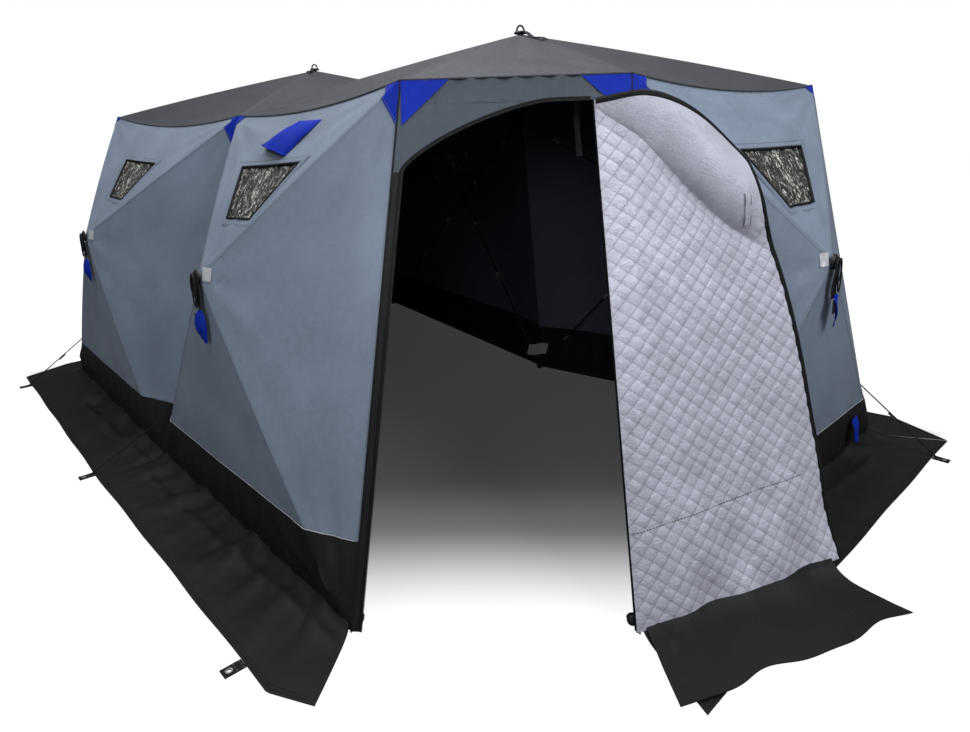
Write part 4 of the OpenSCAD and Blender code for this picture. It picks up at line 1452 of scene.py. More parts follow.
@dataclass
class DoorPlan:
    """The door corner's frame, the arch and the way the door folds back."""

    plan: Plan
    head_band: float = 0.081
    arch_rise: float = 0.224
    jamb_strip: float = 0.034
    hinge_lean: float = 0.127
    hinge_inset: float = 0.012
    bend: float = math.radians(21.0)
    sheet: float = 0.01
    play: float = 0.007
    stand: float = 0.005
    lift: float = 0.014
    edge_play: float = 0.001
    arch_end: float = 0.262
    arch_power: float = 1.4
    soft: float = 0.03

    def __post_init__(self) -> None:
        """Works out the frame's axes and the arch's heights."""
        e, f = self.plan.eave, self.plan.foot
        self.origin = f[3]
        self.rise = float(np.linalg.norm(e[3] - f[3]))
        self.up = unit(e[3] - f[3])
        way = f[2] - f[3]
        self.run = float(np.linalg.norm(way))
        self.way = unit(way - (way @ self.up) * self.up)
        self.inward = np.cross(self.way, self.up)
        self.head_run = float((e[2] - f[3]) @ self.way)
        self.head = self.rise - self.head_band
        self.spring = self.head - self.arch_rise
        self.top = self.head - self.play
        self.tilt = math.atan2(self.hinge_lean - self.hinge_inset, self.head)
        self.crease_tilt = 2 * self.tilt
        self.hinge_point = np.array([self.hinge_inset, 0, -self.stand])
        self.hinge_axis = np.array([math.sin(self.tilt), math.cos(self.tilt), 0])
        self.crease_point = np.array([float(self.crease_at(np.zeros(1))[0]), 0, 0])
        self.crease_axis = np.array([math.sin(self.crease_tilt), math.cos(self.crease_tilt), 0])

    def world(self, p: Array) -> Array:
        """Returns points of the door corner's frame in the hut's frame."""
        return self.origin + p @ np.stack([self.way, self.up, self.inward])

    def jamb_at(self, y: Array) -> Array:
        """Returns the left jamb at height y."""
        return self.run + (self.head_run - self.run) * y / self.rise

    def hinge_at(self, y: Array) -> Array:
        """Returns the hinge seam at height y."""
        return self.hinge_inset + y * math.tan(self.tilt)

    def crease_at(self, y: Array) -> Array:
        """Returns the crease at height y."""
        base = (self.edge_play + self.hinge_inset) / math.tan(self.tilt)
        return -self.edge_play + (y + base) * math.tan(self.crease_tilt)

    def edge_at(self, y: Array, inset: float) -> Array:
        """Returns the free edge at height y, up the jamb and round the arch."""
        q = np.clip((y - self.spring) / (self.head - inset - self.spring), 0.0, 1.0)
        a = np.arcsin(q ** (1 / self.arch_power))
        jamb = self.jamb_at(y) - self.jamb_strip - inset
        arch = self.arch_end + (jamb - self.arch_end) * np.cos(a) ** self.arch_power
        return np.where(y < self.spring, jamb, arch)

    def heights(self, low: float, inset: float, straight: int, arch: int) -> Array:
        """Returns heights up the door, closer together round the arch."""
        a = np.linspace(0, math.pi / 2, arch + 1)[1:]
        up = self.spring + (self.head - inset - self.spring) * np.sin(a) ** self.arch_power
        return np.concatenate([np.linspace(low, self.spring, straight), up])

    def crease_room(self, p: Array) -> Array:
        """Returns the distance of points from the crease, on the door's side positive."""
        d = p - self.crease_point
        return d[:, 0] * math.cos(self.crease_tilt) - d[:, 1] * math.sin(self.crease_tilt)

    def rest(self, p: Array) -> Array:
        """Returns points of the closed door where they lie with the door folded back."""
        share = smooth((self.crease_room(p) + self.soft) / (2 * self.soft))
        p = spin(p, self.crease_point, self.crease_axis, self.bend * share)
        return self.world(spin(p, self.hinge_point, self.hinge_axis, math.pi))


@dataclass
class Doorway:
    """Fixed cloth round the doorway, with its zip tape and bindings."""

    door: DoorPlan
    finishes: Finishes
    sheet: float = 0.004
    tape: float = 0.011
    low: float = 0.003
    strap_size: tuple[float, float] = (0.02, 0.002)
    strap_fall: tuple[float, float, float] = (-0.012, -0.2, 0.0)
    strap_in: float = 0.085

    def cloth(self, name: str, y: Array, x0: Array, x1: Array, columns: int, seed: float,
              finish: str = "porch") -> bpy.types.Object:
        """Builds one cut of cloth between two upright lines of the corner's frame.

        Args:
            name: the piece's name.
            y: heights of its rows.
            x0: where each row starts.
            x1: where each row ends.
            columns: points in a row.
            seed: start of its wrinkles.
            finish: finish of its face.

        Returns:
            The piece.
        """
        t = np.linspace(0, 1, columns)
        x = x0[:, None] + (x1 - x0)[:, None] * t
        yy = np.broadcast_to(y[:, None], x.shape)
        room = smooth(np.minimum(t, 1 - t) / 0.1)[None, :]
        pucker = np.sin(84 * x + 1.5 * np.sin(31 * yy + seed))
        pucker = pucker * np.exp(-(self.door.rise - yy) / 0.06)
        slack = np.sin(8 * x + seed) * np.sin(5 * yy + 2 * seed)
        pulled = np.sin(34 * (x + 0.8 * yy) + seed) * np.sin(9 * x)
        z = -(0.004 * pucker + 0.0016 * slack + 0.002 * pulled) * room
        points = np.stack([x, yy, z], 2).reshape(-1, 3)
        stock = Stock()
        faces = [f[::-1] for f in grid(len(y), columns)]
        stock.add(self.door.world(points), faces, points[:, :2] + seed)
        made = stock.piece(name, self.finishes.get(finish), self.finishes.get("inside"), crease=40)
        thicken(made, self.sheet, 1, 0, 40)
        ride(made, Body.HUT, Slot.WALL)
        declare(made, (float((x1 - x0).max()), float(np.ptp(y))), under(x1 - x0, y), "stretched",
                ["right_roof_poles", "corner_sockets"])
        return made

    def strips(self) -> None:
        """Builds the cloth beside the hinge, beside the jamb and over the arch."""
        d, y = self.door, np.linspace(self.low, self.door.rise, 74)
        # The hinge strip takes the darker porch slate, painted shade over the doorway.
        self.cloth("hinge_strip_cloth", y, 0 * y, d.hinge_at(np.minimum(y, d.head)) - 0.001, 10,
                   1.143)
        y = np.linspace(self.low, d.spring, 56)
        # Painted shade: the jamb strip takes the black skirt cloth, standing for the shade of the
        # doorway beside the zip.
        self.cloth("jamb_strip_cloth", y, d.edge_at(y, 0.0), d.jamb_at(y), 8, 0.324, "skirt")
        arch = d.heights(d.spring, 0.0, 2, 40)
        y = np.concatenate([arch[arch < d.head - 1e-6], np.linspace(d.head, d.rise, 14)])
        x0 = np.where(y < d.head, d.edge_at(y, 0.0), d.hinge_at(np.full(len(y), d.head)) - 0.001)
        # The head cloth takes the darker porch slate, painted shade over the doorway.
        made = self.cloth("doorway_head_cloth", y, x0, d.jamb_at(y), 110, 6.12)
        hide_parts("door_surround")

    def zip(self, hems: Rows) -> None:
        """Builds the zip's fixed tape and teeth round the opening.

        Args:
            hems: rows that the tape's stitching is added to.
        """
        d = self.door
        y = d.heights(self.low, 0.0, 60, 48)
        inner = np.stack([d.edge_at(y, 0.0), y, 0 * y], 1)
        head = np.stack([np.linspace(d.arch_end, d.hinge_at(d.head) + 0.01, 14)[1:],
                         np.full(13, d.head), np.zeros(13)], 1)
        path = np.concatenate([inner, head])
        _, side, _ = frames_along(path, UP)
        tape, teeth = Stock(), Rows()
        middle = path - side * self.tape * 0.42
        ribbon(tape, d.world(middle - UP * 0.0012), -d.inward, self.tape, 0.002)
        teeth.add(d.world(path - UP * 0.001), -d.inward)
        self.finishes.fit(tape, "doorway_tape", "tape", Slot.ZIP)
        made = teeth.piece("doorway_teeth", TOOTH_SPACING, (0.0035, 0.007, 0.004),
                           self.finishes.get("plastic"))
        ride(made, Body.HUT, Slot.PLASTIC)
        line = path - side * self.tape * 0.7
        hems.add(d.world(line - UP * 0.0036), -d.inward)

    def strap(self) -> None:
        """Builds the strap that hangs inside the head, clear of the closed door."""
        d, hung, strap = self.door, np.linspace(0, 1, 18)[:, None], Stock()
        top = np.array([d.hinge_at(d.head) + 0.05, d.head + 0.03, 0.014])
        fall = top + hung * self.strap_fall + smooth(hung / 0.35) * UP * self.strap_in
        ribbon(strap, d.world(fall + UP * 0.004 * np.sin(5 * hung)), -d.inward,
               *self.strap_size)
        self.finishes.fit(strap, "doorway_strap", "skirt", Slot.WEBBING)

    def build(self, hems: Rows) -> None:
        """Builds the surround, its zip and the strap.

        Args:
            hems: rows that the tape's stitching is added to.
        """
        self.strips()
        self.zip(hems)
        self.strap()


@dataclass
class Door:
    """The quilted door, folded back, with its zip, webbing tab and snow flap."""

    door: DoorPlan
    finishes: Finishes
    puff: float = 0.0042
    core: float = 0.004
    zip_width: float = 0.018
    columns: int = 172
    straight: int = 200
    arch: int = 76
    valley: tuple[tuple[float, float], tuple[float, float]] = ((0.095, 1.765), (0.665, 1.305))
    bulge: float = 0.05
    bulge_span: float = 0.27
    corner: tuple[float, float] = (0.763, 1.55)
    droop: tuple[float, float] = (0.055, 0.05)
    seam: tuple[float, float] = (0.338, 0.036)
    flap_reach: float = 0.286
    flap_taper: float = 0.02
    flap_flare: float = 0.16
    tab_x: float = 0.69
    tab_span: tuple[float, float] = (1.322, 1.442)
    tab_width: float = 0.024
    tab_sheet: float = 0.002
    tack_off: float = 0.0112
    seam_span: tuple[float, float] = (0.05, 0.78)
    zip_thick: float = 0.0105
    zip_cord: float = 0.0045
    flap_ground: float = 0.0145
    flap_sheet: float = 0.003

    def over_valley(self, x: Array, y: Array) -> tuple[Array, Array]:
        """Returns places along the fold over the door's head, and heights above it."""
        (x0, y0), (x1, y1) = self.valley
        span = math.hypot(x1 - x0, y1 - y0)
        ux, uy = (x1 - x0) / span, (y1 - y0) / span
        return ((x - x0) * ux + (y - y0) * uy) / span, (y - y0) * ux - (x - x0) * uy

    def plain(self, x: Array, y: Array) -> Array:
        """Returns 1 in the plain head of the door and 0 where it is quilted."""
        along, above = self.over_valley(x, y)
        return smooth((above + 0.01) / 0.025) * smooth((1.12 - along) / 0.1)

    def quilting(self, x: Array, y: Array) -> Array:
        """Returns the puff of the quilting from 0 at a stitch line to 1 in a cell."""
        sewn = self.finishes.silver
        p = (x * sewn.lean + y) / sewn.cell
        q = (x * sewn.lean - y * sewn.slant) / sewn.cell
        cell = 1 - np.exp(-4.0 * np.abs(np.sin(math.pi * p)) * np.abs(np.sin(math.pi * q)))
        vary = 0.74 + 0.26 * np.sin(np.floor(p) * 5.3 + np.floor(q) * 9.1)
        plain = self.plain(x, y)
        seam = np.abs(y - self.seam[0] - self.seam[1] * x)
        return (cell * vary * (1 - plain) + 0.55 * plain) * smooth(0.35 + seam / 0.011)

    def lie(self, x: Array, y: Array) -> Array:
        """Returns where points of the flat door lie when its cloth hangs in folds."""
        d = self.door
        along, above = self.over_valley(x, y)
        reach = smooth((along + 0.1) / 0.35) * smooth((1.3 - along) / 0.42)
        room = np.maximum(d.crease_room(np.stack([x, y, 0 * x], -1)), 0)
        swell = np.sin(math.pi * np.clip(above / self.bulge_span, 0, 1)) ** 0.9
        hollow = bell(above + 0.022, 0.034) * smooth((room - 0.03) / 0.2)
        wave = 0.0045 * np.sin(6.2 * y + 2.5 * x) + 0.003 * np.sin(11 * x - 3 * y + 1)
        foot = smooth((0.6 - y) / 0.55) * (
            0.009 * np.sin(15 * x - 10 * y) + 0.005 * np.sin(29 * x + 15 * y + 1))
        z = ((self.bulge * swell - 0.02 * hollow) * reach - 0.02 * (room / 0.8) ** 2
             + (wave + foot) * smooth(room / 0.25) + 0.004)
        sag = bell(np.hypot(x - self.corner[0], y - self.corner[1]), 0.33)
        drawn = room * (0.035 + 0.01 * smooth((y - 0.7) / 0.5))
        return np.stack([x - drawn - self.droop[0] * sag, y - self.droop[1] * sag, z], -1)

    def surface(self, x: Array, y: Array, lift: Array | float = 0.0) -> tuple[Array, Array]:
        """Puts points of the flat door on its folded cloth, in the closed door's frame.

        Args:
            x: places across the door.
            y: places up the door.
            lift: heights above the cloth's middle, toward the lining.

        Returns:
            The points and their normals.
        """
        h = 0.003
        n = unit(np.cross(self.lie(x + h, y) - self.lie(x - h, y),
                          self.lie(x, y + h) - self.lie(x, y - h)))
        return self.lie(x, y) + n * np.reshape(lift, (-1, 1)), n

    def rest(self, x: Array, y: Array, lift: Array | float = 0.0) -> tuple[Array, Array]:
        """Returns points and normals of the folded cloth with the door folded back."""
        points, n = self.surface(x, y, lift)
        lying = self.door.rest(points)
        return lying, unit(self.door.rest(points + n * 0.01) - lying)

    def hang(self, piece: bpy.types.Object, slot: Slot, *nodes: str) -> None:
        """Bakes a piece's transform in place and hides the nodes that it stands for."""
        d = self.door
        middle = np.array([float(d.crease_at(np.array([0.9]))[0]), 0.9, 0.0])
        across = np.array([math.cos(d.crease_tilt), -math.sin(d.crease_tilt), 0.0]) * d.soft
        ends = d.world(spin(np.stack([middle - across, middle + across]), d.hinge_point,
                            d.hinge_axis, math.pi))
        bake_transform(piece)
        if nodes:
            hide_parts(*nodes)
        LOG.info("%s: %d faces", piece.name, len(piece.data.polygons))

    def build(self) -> None:
        """Builds the quilt, its zip, its tab and its flap."""
        d = self.door
        y = d.heights(d.lift, d.play, self.straight, self.arch)
        t = np.linspace(0, 1, self.columns)
        x0, x1 = d.hinge_at(y) + 0.001, d.edge_at(y, d.play) - 0.002
        x = (x0[:, None] + (x1 - x0)[:, None] * t).ravel()
        yy = np.repeat(y, self.columns)
        puff = self.quilting(x, yy)
        inset = np.minimum(np.tile(np.minimum(t, 1 - t), len(y)) / 0.03, 1.0)
        face, _ = self.rest(x, yy, self.core + self.puff * puff * (0.2 + 0.8 * inset))
        back, _ = self.rest(x, yy, -0.0012 * puff)
        stock, uv, n = Stock(), np.stack([x, yy], 1), len(x)
        faces = grid(len(y), self.columns)
        rim = ([k for k in range(self.columns)]
               + [r * self.columns + self.columns - 1 for r in range(1, len(y))]
               + [(len(y) - 1) * self.columns + c for c in range(self.columns - 2, -1, -1)]
               + [r * self.columns for r in range(len(y) - 2, 0, -1)])
        sides = [(b, a, a + n, b + n) for a, b in zip(rim, rim[1:] + rim[:1])]
        shell = [tuple(k + n for k in f[::-1]) for f in faces]
        stock.add(np.concatenate([face, back]), faces + sides + shell, np.concatenate([uv, uv]),
                  len(shell))
        made = stock.piece("door_quilt", self.finishes.get("silver"), self.finishes.get("wall"),
                           crease=70)
        along, above = self.over_valley(x, yy)
        # Painted shadow under the fold over the door's head; with the quilting's creases it becomes
        # painted shade on the lining through an attribute.
        shadow = 0.7 * bell(above + 0.012, 0.03) * smooth((1.15 - along) / 0.3)
        for name, value in (("painted_crease_shade", np.maximum(1 - np.clip(puff / 0.4, 0, 1), shadow)),
                            ("quilted", 1 - self.plain(x, yy))):
            made.data.attributes.new(name, "FLOAT", "POINT").data.foreach_set(
                "value", np.concatenate([value, value]).astype(np.float32))
        self.hang(made, Slot.QUILT, "door_fold", "door_panel")
        declare(made, (float((x1 - x0).max()), float(np.ptp(y))), under(x1 - x0, y), "hung",
                ["door_piping"])
        x = np.linspace(*self.seam_span, 90)
        sewn, rows = self.rest(x, self.seam[0] + self.seam[1] * x, self.core + 0.0022), Rows()
        rows.add(*sewn)
        self.hang(rows.piece("door_seam_stitches", 0.012, (0.007, 0.0018, 0.0014),
                             self.finishes.get("tape")), Slot.ZIP)
        self.zip()
        self.flap()
        self.tab()

    def zip(self) -> None:
        """Builds the zip tape and its teeth along the free edge."""
        d = self.door
        y = d.heights(d.lift, d.play, 90, 60)
        x = d.edge_at(y, d.play)
        head = np.linspace(d.arch_end, d.hinge_at(d.top) + 0.006, 24)[1:]
        x, y = np.concatenate([x, head]), np.concatenate([y, np.full(len(head), d.top)])
        line, normal = self.rest(x, y, self.core * 0.5)
        _, side, _ = frames_along(line, normal)
        tape, teeth, binding = Stock(), Rows(), Stock()
        ribbon(tape, line + side * self.zip_width * 0.35 - normal * 0.004, normal, self.zip_width,
               self.zip_thick)
        tube(binding, line - side * 0.001, self.zip_cord, 8)
        teeth.add(line - side * 0.004, normal)
        self.hang(tape.piece("door_zip_tape", self.finishes.get("tape")), Slot.ZIP, "door_zip")
        self.hang(binding.piece("door_zip_cord", self.finishes.get("tape")), Slot.ZIP)
        self.hang(teeth.piece("door_zip_teeth", TOOTH_SPACING, (0.0035, 0.006, 0.004),
                              self.finishes.get("plastic")), Slot.PLASTIC)

    def flap(self) -> None:
        """Builds the snow flap, sewn to the door's foot and spread on the ground."""
        d = self.door
        x0 = float(d.crease_at(np.array([d.lift]))[0]) + 0.02
        x1 = float(d.jamb_at(np.array([d.lift]))[0]) - d.jamb_strip - 0.06
        columns, rows = 110, 34
        u = np.linspace(0, 1, columns)
        top, _ = self.rest(x0 + (x1 - x0) * u, np.full(columns, d.lift + 0.012),
                           self.core + self.puff)
        run = unit(np.array([top[-1, 0] - top[0, 0], top[-1, 1] - top[0, 1], 0.0]))
        out = np.array([run[1], -run[0], 0.0])
        v = np.linspace(0, 1, rows)[:, None]
        flare = (u - 0.5)[None, :, None] * self.flap_flare * v[:, :, None] * run
        wave = 0.004 * np.sin(13 * u)[None, :, None] * v[:, :, None] ** 2 * out
        reach = self.flap_reach - self.flap_taper * u
        points = top[None] + out * (reach[None, :, None] * v[:, :, None]) + flare + wave
        length = u * (x1 - x0)
        ripple = 0.006 * np.maximum(np.sin(17 * length[None] + 6 * v), 0) * (1 - 0.6 * v)
        ground = self.flap_ground + ripple
        fall = np.exp(-v * 9.0)
        points[:, :, 2] = top[None, :, 2] * fall + ground * (1 - fall)
        points[:, :, 2] += 0.012 * np.sin(23 * length)[None] * v * np.exp(-v * 6) * 2.2
        uv = np.stack([np.tile(length, rows), np.repeat(v[:, 0] * 0.29, columns)], 1)
        stock, points = Stock(), points.reshape(-1, 3)
        stock.add(points, looking(grid(rows, columns), points, UP), uv)
        made = stock.piece("door_flap_cloth", self.finishes.get("skirt"), crease=50)
        thicken(made, self.flap_sheet, crease=50)
        ride(made, Body.DOOR, Slot.SKIRT, "door_flap")
        declare(made, (x1 - x0 + self.flap_flare, self.flap_reach),
                (x1 - x0 + self.flap_flare / 2) * (self.flap_reach - self.flap_taper / 2), "draped",
                ["door_quilt"])

    def tab(self) -> None:
        """Builds the webbing tab sewn near the free edge, and its edges' tacks."""
        stock, tacks = Stock(), Rows()
        y = np.linspace(*self.tab_span, 12)
        line, normal = self.rest(np.full(len(y), self.tab_x), y, self.core + self.puff)
        _, side, _ = frames_along(line, normal)
        ribbon(stock, line, normal, self.tab_width, self.tab_sheet)
        ride(stock.piece("door_tab", self.finishes.get("silver")), Body.DOOR, Slot.QUILT)
        for way in (-1, 1):
            for part in (slice(0, 4), slice(7, 11)):
                edge = line[part] + side[part] * (way * self.tack_off)
                tacks.add(edge + normal[part] * 0.0024, normal[part])
        made = tacks.piece("door_tab_tacks", 0.0035, (0.003, 0.0012, 0.001),
                           self.finishes.get("tape"))
        ride(made, Body.DOOR, Slot.ZIP)


@dataclass
class Patches:
    """Cobalt reinforcing patches under the roof corners."""

    plan: Plan
    door: DoorPlan
    finishes: Finishes
    leg: float = 0.15
    top_leg: float = 0.085
    sheet: float = 0.0022
    cuts: int = 12

    def patch(self, stock: Stock, stitches: Rows, panel: Panel, k: int, leg: float) -> None:
        """Adds a patch in one corner of a panel.

        Args:
            stock: what it is added to.
            stitches: rows that its hem's stitching is added to.
            panel: the panel.
            k: the corner.
            leg: length of its sides.
        """
        b, faces = triangle(self.cuts)
        c, m, n = panel.corners, (k + 1) % 3, (k + 2) % 3
        share = leg / max(np.linalg.norm(c[m] - c[k]), np.linalg.norm(c[n] - c[k]))
        w, t = np.empty_like(b), np.linspace(0.06, 0.94, 12)
        w[:, m], w[:, n] = share * b[:, 1], share * b[:, 2]
        w[:, k] = 1 - share * (b[:, 1] + b[:, 2])
        out = panel.normal(w)
        ripple = 0.0012 * np.sin(b[:, 1] * 19 + leg * 40) * np.sin(b[:, 2] * 17) + 0.0028
        points = panel.point(w) + out * ripple[:, None]
        stock.add(points, looking(faces, points, out[0]), panel.flat(points))
        hem = np.empty((len(t), 3))
        hem[:, k], hem[:, m], hem[:, n] = 1 - share * 0.93, share * 0.93 * t, share * 0.93 * (1 - t)
        stitches.add(panel.point(hem) + panel.normal(hem) * 0.0046, panel.normal(hem))

    def build(self, stitches: Rows) -> None:
        """Builds every patch.

        Args:
            stitches: rows that the hems' stitching is added to.
        """
        stock = Stock()
        b, faces = triangle(self.cuts)
        for i in self.plan.WALLS:
            top, left, right, _ = self.plan.wall_panels(i)
            for panel, k, leg in ((left, 0, self.leg), (right, 0, self.leg),
                                  (top, 0, self.top_leg), (top, 2, self.top_leg)):
                self.patch(stock, stitches, panel, k, leg)
        top = self.door.rise - 0.0005
        for x, way, wide in ((0.0005, 1.0, 1.1), (self.door.head_run - 0.0005, -1.0, 1.08)):
            a, c, e = (x, top), (x + way * self.leg * wide, top), (x, top - self.leg)
            flat = b @ np.array([a, c, e])
            depth = -(0.003 + 0.001 * np.sin(b[:, 1] * 15) * np.sin(b[:, 2] * 13))
            points = self.door.world(np.column_stack([flat, depth]))
            stock.add(points, looking(faces, points, -self.door.inward), flat)
        made = stock.piece("corner_patch_cloth", self.finishes.get("accent"), crease=50)
        thicken(made, self.sheet, crease=50)
        ride(made, Body.HUT, Slot.ACCENT, "corner_patches")


@dataclass
class Hood:
    """The vent hood on the front right wall: a puffed awning, open at its lower edge."""

    plan: Plan
    finishes: Finishes
    mouth: tuple[tuple[float, float, float], ...] = ((0.48, 0.23, 0.29), (0.26, 0.305, 0.435))
    head: tuple[tuple[float, float, float], ...] = ((0.455, 0.07, 0.475), (0.29, 0.095, 0.615))
    deep: float = 0.052
    sheet: float = 0.003
    brim: float = 0.004
    mouth_shade: tuple[float, float] = (0.045, 0.002)
    rows: int = 34
    columns: int = 40

    def build(self) -> None:
        """Builds the hood's cloth, its brim, and a dark strip in its mouth that paints the shade of
        the opening.
        """
        panel = self.plan.wall_panels(1)[0]
        c, t = (share[:, 0] for share in lattice(self.rows, self.columns))
        (m0, m1), (h0, h1) = np.array(self.mouth), np.array(self.head)
        low, high = m0 + (m1 - m0) * c[:, None], h0 + (h1 - h0) * c[:, None]
        w = low + (high - low) * t[:, None]
        n = panel.normal(w)
        swell = np.sin(math.pi * c) ** 0.55 * (1 - t) ** 0.7
        pinch = 0.016 * bell(c - 0.62 + 0.2 * t, 0.07) * (1 - t) ** 0.5
        slack = 0.0025 * np.sin(17 * c + 7 * t) * np.sin(math.pi * t)
        points = panel.point(w) + n * (0.003 + self.deep * swell - pinch * swell + slack)[:, None]
        points -= UP * (0.012 * swell * (1 - t) ** 2)[:, None]
        faces = grid(self.rows, self.columns)
        stock, brim, mouth_shade = Stock(), Stock(), Stock()
        stock.add(points, looking(faces, points, n[0], len(faces) // 2),
                  np.stack([c * 0.25, t * 0.2], 1))
        get = self.finishes.get
        made = stock.piece("hood_cloth", get("accent"), get("inside"), crease=60)
        ride(thicken(made, self.sheet, 1, 0, 60), Body.HUT, Slot.ACCENT, "vent_hood")
        tube(brim, points[:self.columns], self.brim, 8)
        self.finishes.fit(brim, "hood_brim", "accent", Slot.ACCENT)
        # Painted shade: a dark strip of the inside lining just within the hood's mouth stands for
        # the shade of its opening.
        line = low[3:self.columns - 3] * 0.94 + high[3:self.columns - 3] * 0.06
        n = panel.normal(line)
        ribbon(mouth_shade, panel.point(line) + n * 0.001, n, *self.mouth_shade)
        self.finishes.fit(mouth_shade, "hood_mouth_shade", "inside", Slot.SKIRT)


@dataclass
class Rigging:
    """Pulls on the hubs, pole fittings, taut lines and trim on the anchor tabs."""

    plan: Plan
    finishes: Finishes
    cap: float = 0.014
    drop: float = 0.2
    tab_length: float = 0.1
    line: float = 0.004
    eave_inset: float = 0.031
    foot_inset: float = 0.042
    foot_lift: float = 0.022
    pole_depth: float = 0.045
    ferrule_spacing: float = 0.42
    ferrule: tuple[float, float, float] = (0.055, 0.0068, 0.0)
    tab_reach: float = 0.07
    tab_end: float = 0.022
    skirt_width: float = 0.32
    anchors: tuple[tuple[int, int, float], ...] = (
        (0, 0, 0.02), (1, 0, 0.96), (2, 1, 0.93), (4, 3, 0.97), (5, 4, 0.95), (6, 5, 0.97))
    lined: tuple[int, ...] = (0, 1, 3)
    tabbed: int = 3
    strap_widths: tuple[float, float] = (0.034, 0.03)
    strap: float = 0.0025
    loops: tuple[tuple[float, float], ...] = ((0.02, 0.05), (0.027, 0.09), (0.015, 0.13))
    cord: float = 0.003
    tab_at: tuple[float, ...] = (0.0, 0.15, 0.55, 1.0)
    tab_widths: tuple[float, ...] = (0.034, 0.062, 0.056, 0.022)
    tab_sheet: float = 0.003
    tag: tuple[float, float, float] = (0.055, 0.03, 0.002)
    patch: tuple[float, float, float] = (0.052, 0.048, 0.0012)
    roof_straps: tuple[tuple[int, float], ...] = ((1, 0.16), (3, 0.3))
    roof_strap: tuple[float, float] = (0.022, 0.003)
    roof_loop: tuple[float, float, float] = (0.018, 0.026, 0.0045)
    strands: int = 3
    strand: float = 0.0021
    strand_off: float = 0.0019
    lay: float = 0.026
    slider: tuple[float, float, float] = (0.05, 0.02, 0.005)
    tack_box: tuple[float, float] = (0.016, 0.02)
    trim_at: tuple[float, ...] = (0.0, 0.09, 0.13)
    trim_widths: tuple[float, ...] = (0.06, 0.056, 0.034)
    trim_place: tuple[float, float, float] = (0.36, 0.05, 0.085)
    pocket: tuple[float, float, float] = (0.18, 0.075, 0.002)
    pocket_corner: int = 5
    pocket_place: tuple[float, float] = (0.06, 0.15)
    pocket_face: tuple[float, float, float] = (0.35, -0.9, 0.3)

    def hub_patch(self, stock: Stock, i: int) -> None:
        """Adds the pale patch on the panel beside a wall's hub."""
        left = self.plan.WALLS[i] == "right_end"
        panel = self.plan.wall_panels(i)[1 if left else 2]
        near = np.array([[0.04, 0.015, 0.945] if left else [0.04, 0.945, 0.015]])
        middle, n = panel.point(near)[0], panel.normal(near)[0]
        slope = np.cross(n, unit(np.cross(UP, n)))
        tall, wide, thick = self.patch
        along = np.linspace(-tall / 2, tall / 2, 8)[:, None]
        ribbon(stock, middle + slope * along + n * 0.0015, n, wide, thick)

    def pulls(self) -> None:
        """Builds the webbing, cord loops, blank tag and blue tab on each wall hub."""
        straps, tabs, cords, tags, patches = Stock(), Stock(), Stock(), Stock(), Stock()
        for i in self.plan.WALLS:
            f = self.plan.facing[i]
            side = np.cross(UP, f)
            o = self.plan.hub(i) + f * (self.cap + 0.001)
            t = np.linspace(0, 1, 22)[:, None]
            sway = 0.008 * np.sin(3 * t + i)
            down = o + UP * (0.012 - self.drop * 0.78 * t) + side * sway + f * 0.004 * np.sin(5 * t)
            twist = unit(f + side * 0.35 * np.sin(4 * t))
            ribbon(straps, down + side * 0.008, twist, self.strap_widths[0], self.strap)
            ribbon(straps, down - side * 0.008 + f * 0.0035 + UP * 0.02 * t,
                   unit(f - side * 0.3 * t), self.strap_widths[1], self.strap)
            for k, (wide, tall) in enumerate(self.loops):
                a = np.linspace(0, 2 * math.pi, 30)[:, None]
                loop = (o + side * (wide * np.sin(a) + 0.006 * (k - 1))
                        + UP * (0.014 - tall / 2 + tall / 2 * np.cos(a)) + f * (0.006 + 0.003 * k))
                tube(cords, loop, self.cord, 7)
            s = np.linspace(0, 1, 16)[:, None]
            wide = np.interp(s[:, 0], self.tab_at, self.tab_widths)
            base = o + UP * (0.07 - self.drop) + side * 0.014
            fall = base - UP * (self.tab_length + 0.03) * s + side * 0.016 * s
            fall = fall + f * 0.006 * np.sin(4 * s)
            ribbon(tabs, fall, unit(f + side * 0.5 * np.sin(3 * s)), wide, self.tab_sheet)
            tall, wide, thick = self.tag
            q = np.linspace(0, 1, 5)[:, None]
            ribbon(tags, o + UP * (tall - self.drop) - UP * tall * q - side * 0.012 + f * 0.007,
                   f, wide, thick)
            self.hub_patch(patches, i)
        self.finishes.fit(straps, "pull_webbing", "webbing", Slot.WEBBING, "pull_straps")
        self.finishes.fit(cords, "pull_cords", "cord", Slot.WEBBING)
        self.finishes.fit(tags, "pull_tags", "plastic", Slot.PLASTIC)
        self.finishes.fit(tabs, "pull_tab_cloth", "accent", Slot.ACCENT, "pull_tabs", crease=50)
        self.finishes.fit(patches, "hub_patches", "patch", Slot.QUILT)

    def roof_pulls(self) -> None:
        """Builds the webbing that lies on the roofs beside their hubs."""
        straps, loops = Stock(), Stock()
        half, tall, thick = self.roof_loop
        for k, (corner, length) in enumerate(self.roof_straps):
            top = self.plan.apex[k]
            way = unit(self.plan.eave[corner] - top)
            level = unit(np.array([way[0], way[1], 0.0]))
            t = np.linspace(0, 1, 20)[:, None]
            path = top + way * (0.012 + length * t) + UP * (0.012 + 0.006 * np.sin(9 * t))
            ribbon(straps, path, UP, *self.roof_strap)
            a = np.linspace(0, math.pi, 16)[:, None]
            side = np.cross(UP, level)
            loop = top + UP * (0.013 + tall * np.sin(a)) + side * half * np.cos(a)
            tube(loops, loop, thick)
        self.finishes.fit(straps, "roof_straps", "webbing", Slot.WEBBING)
        self.finishes.fit(loops, "roof_loops", "cord", Slot.WEBBING)

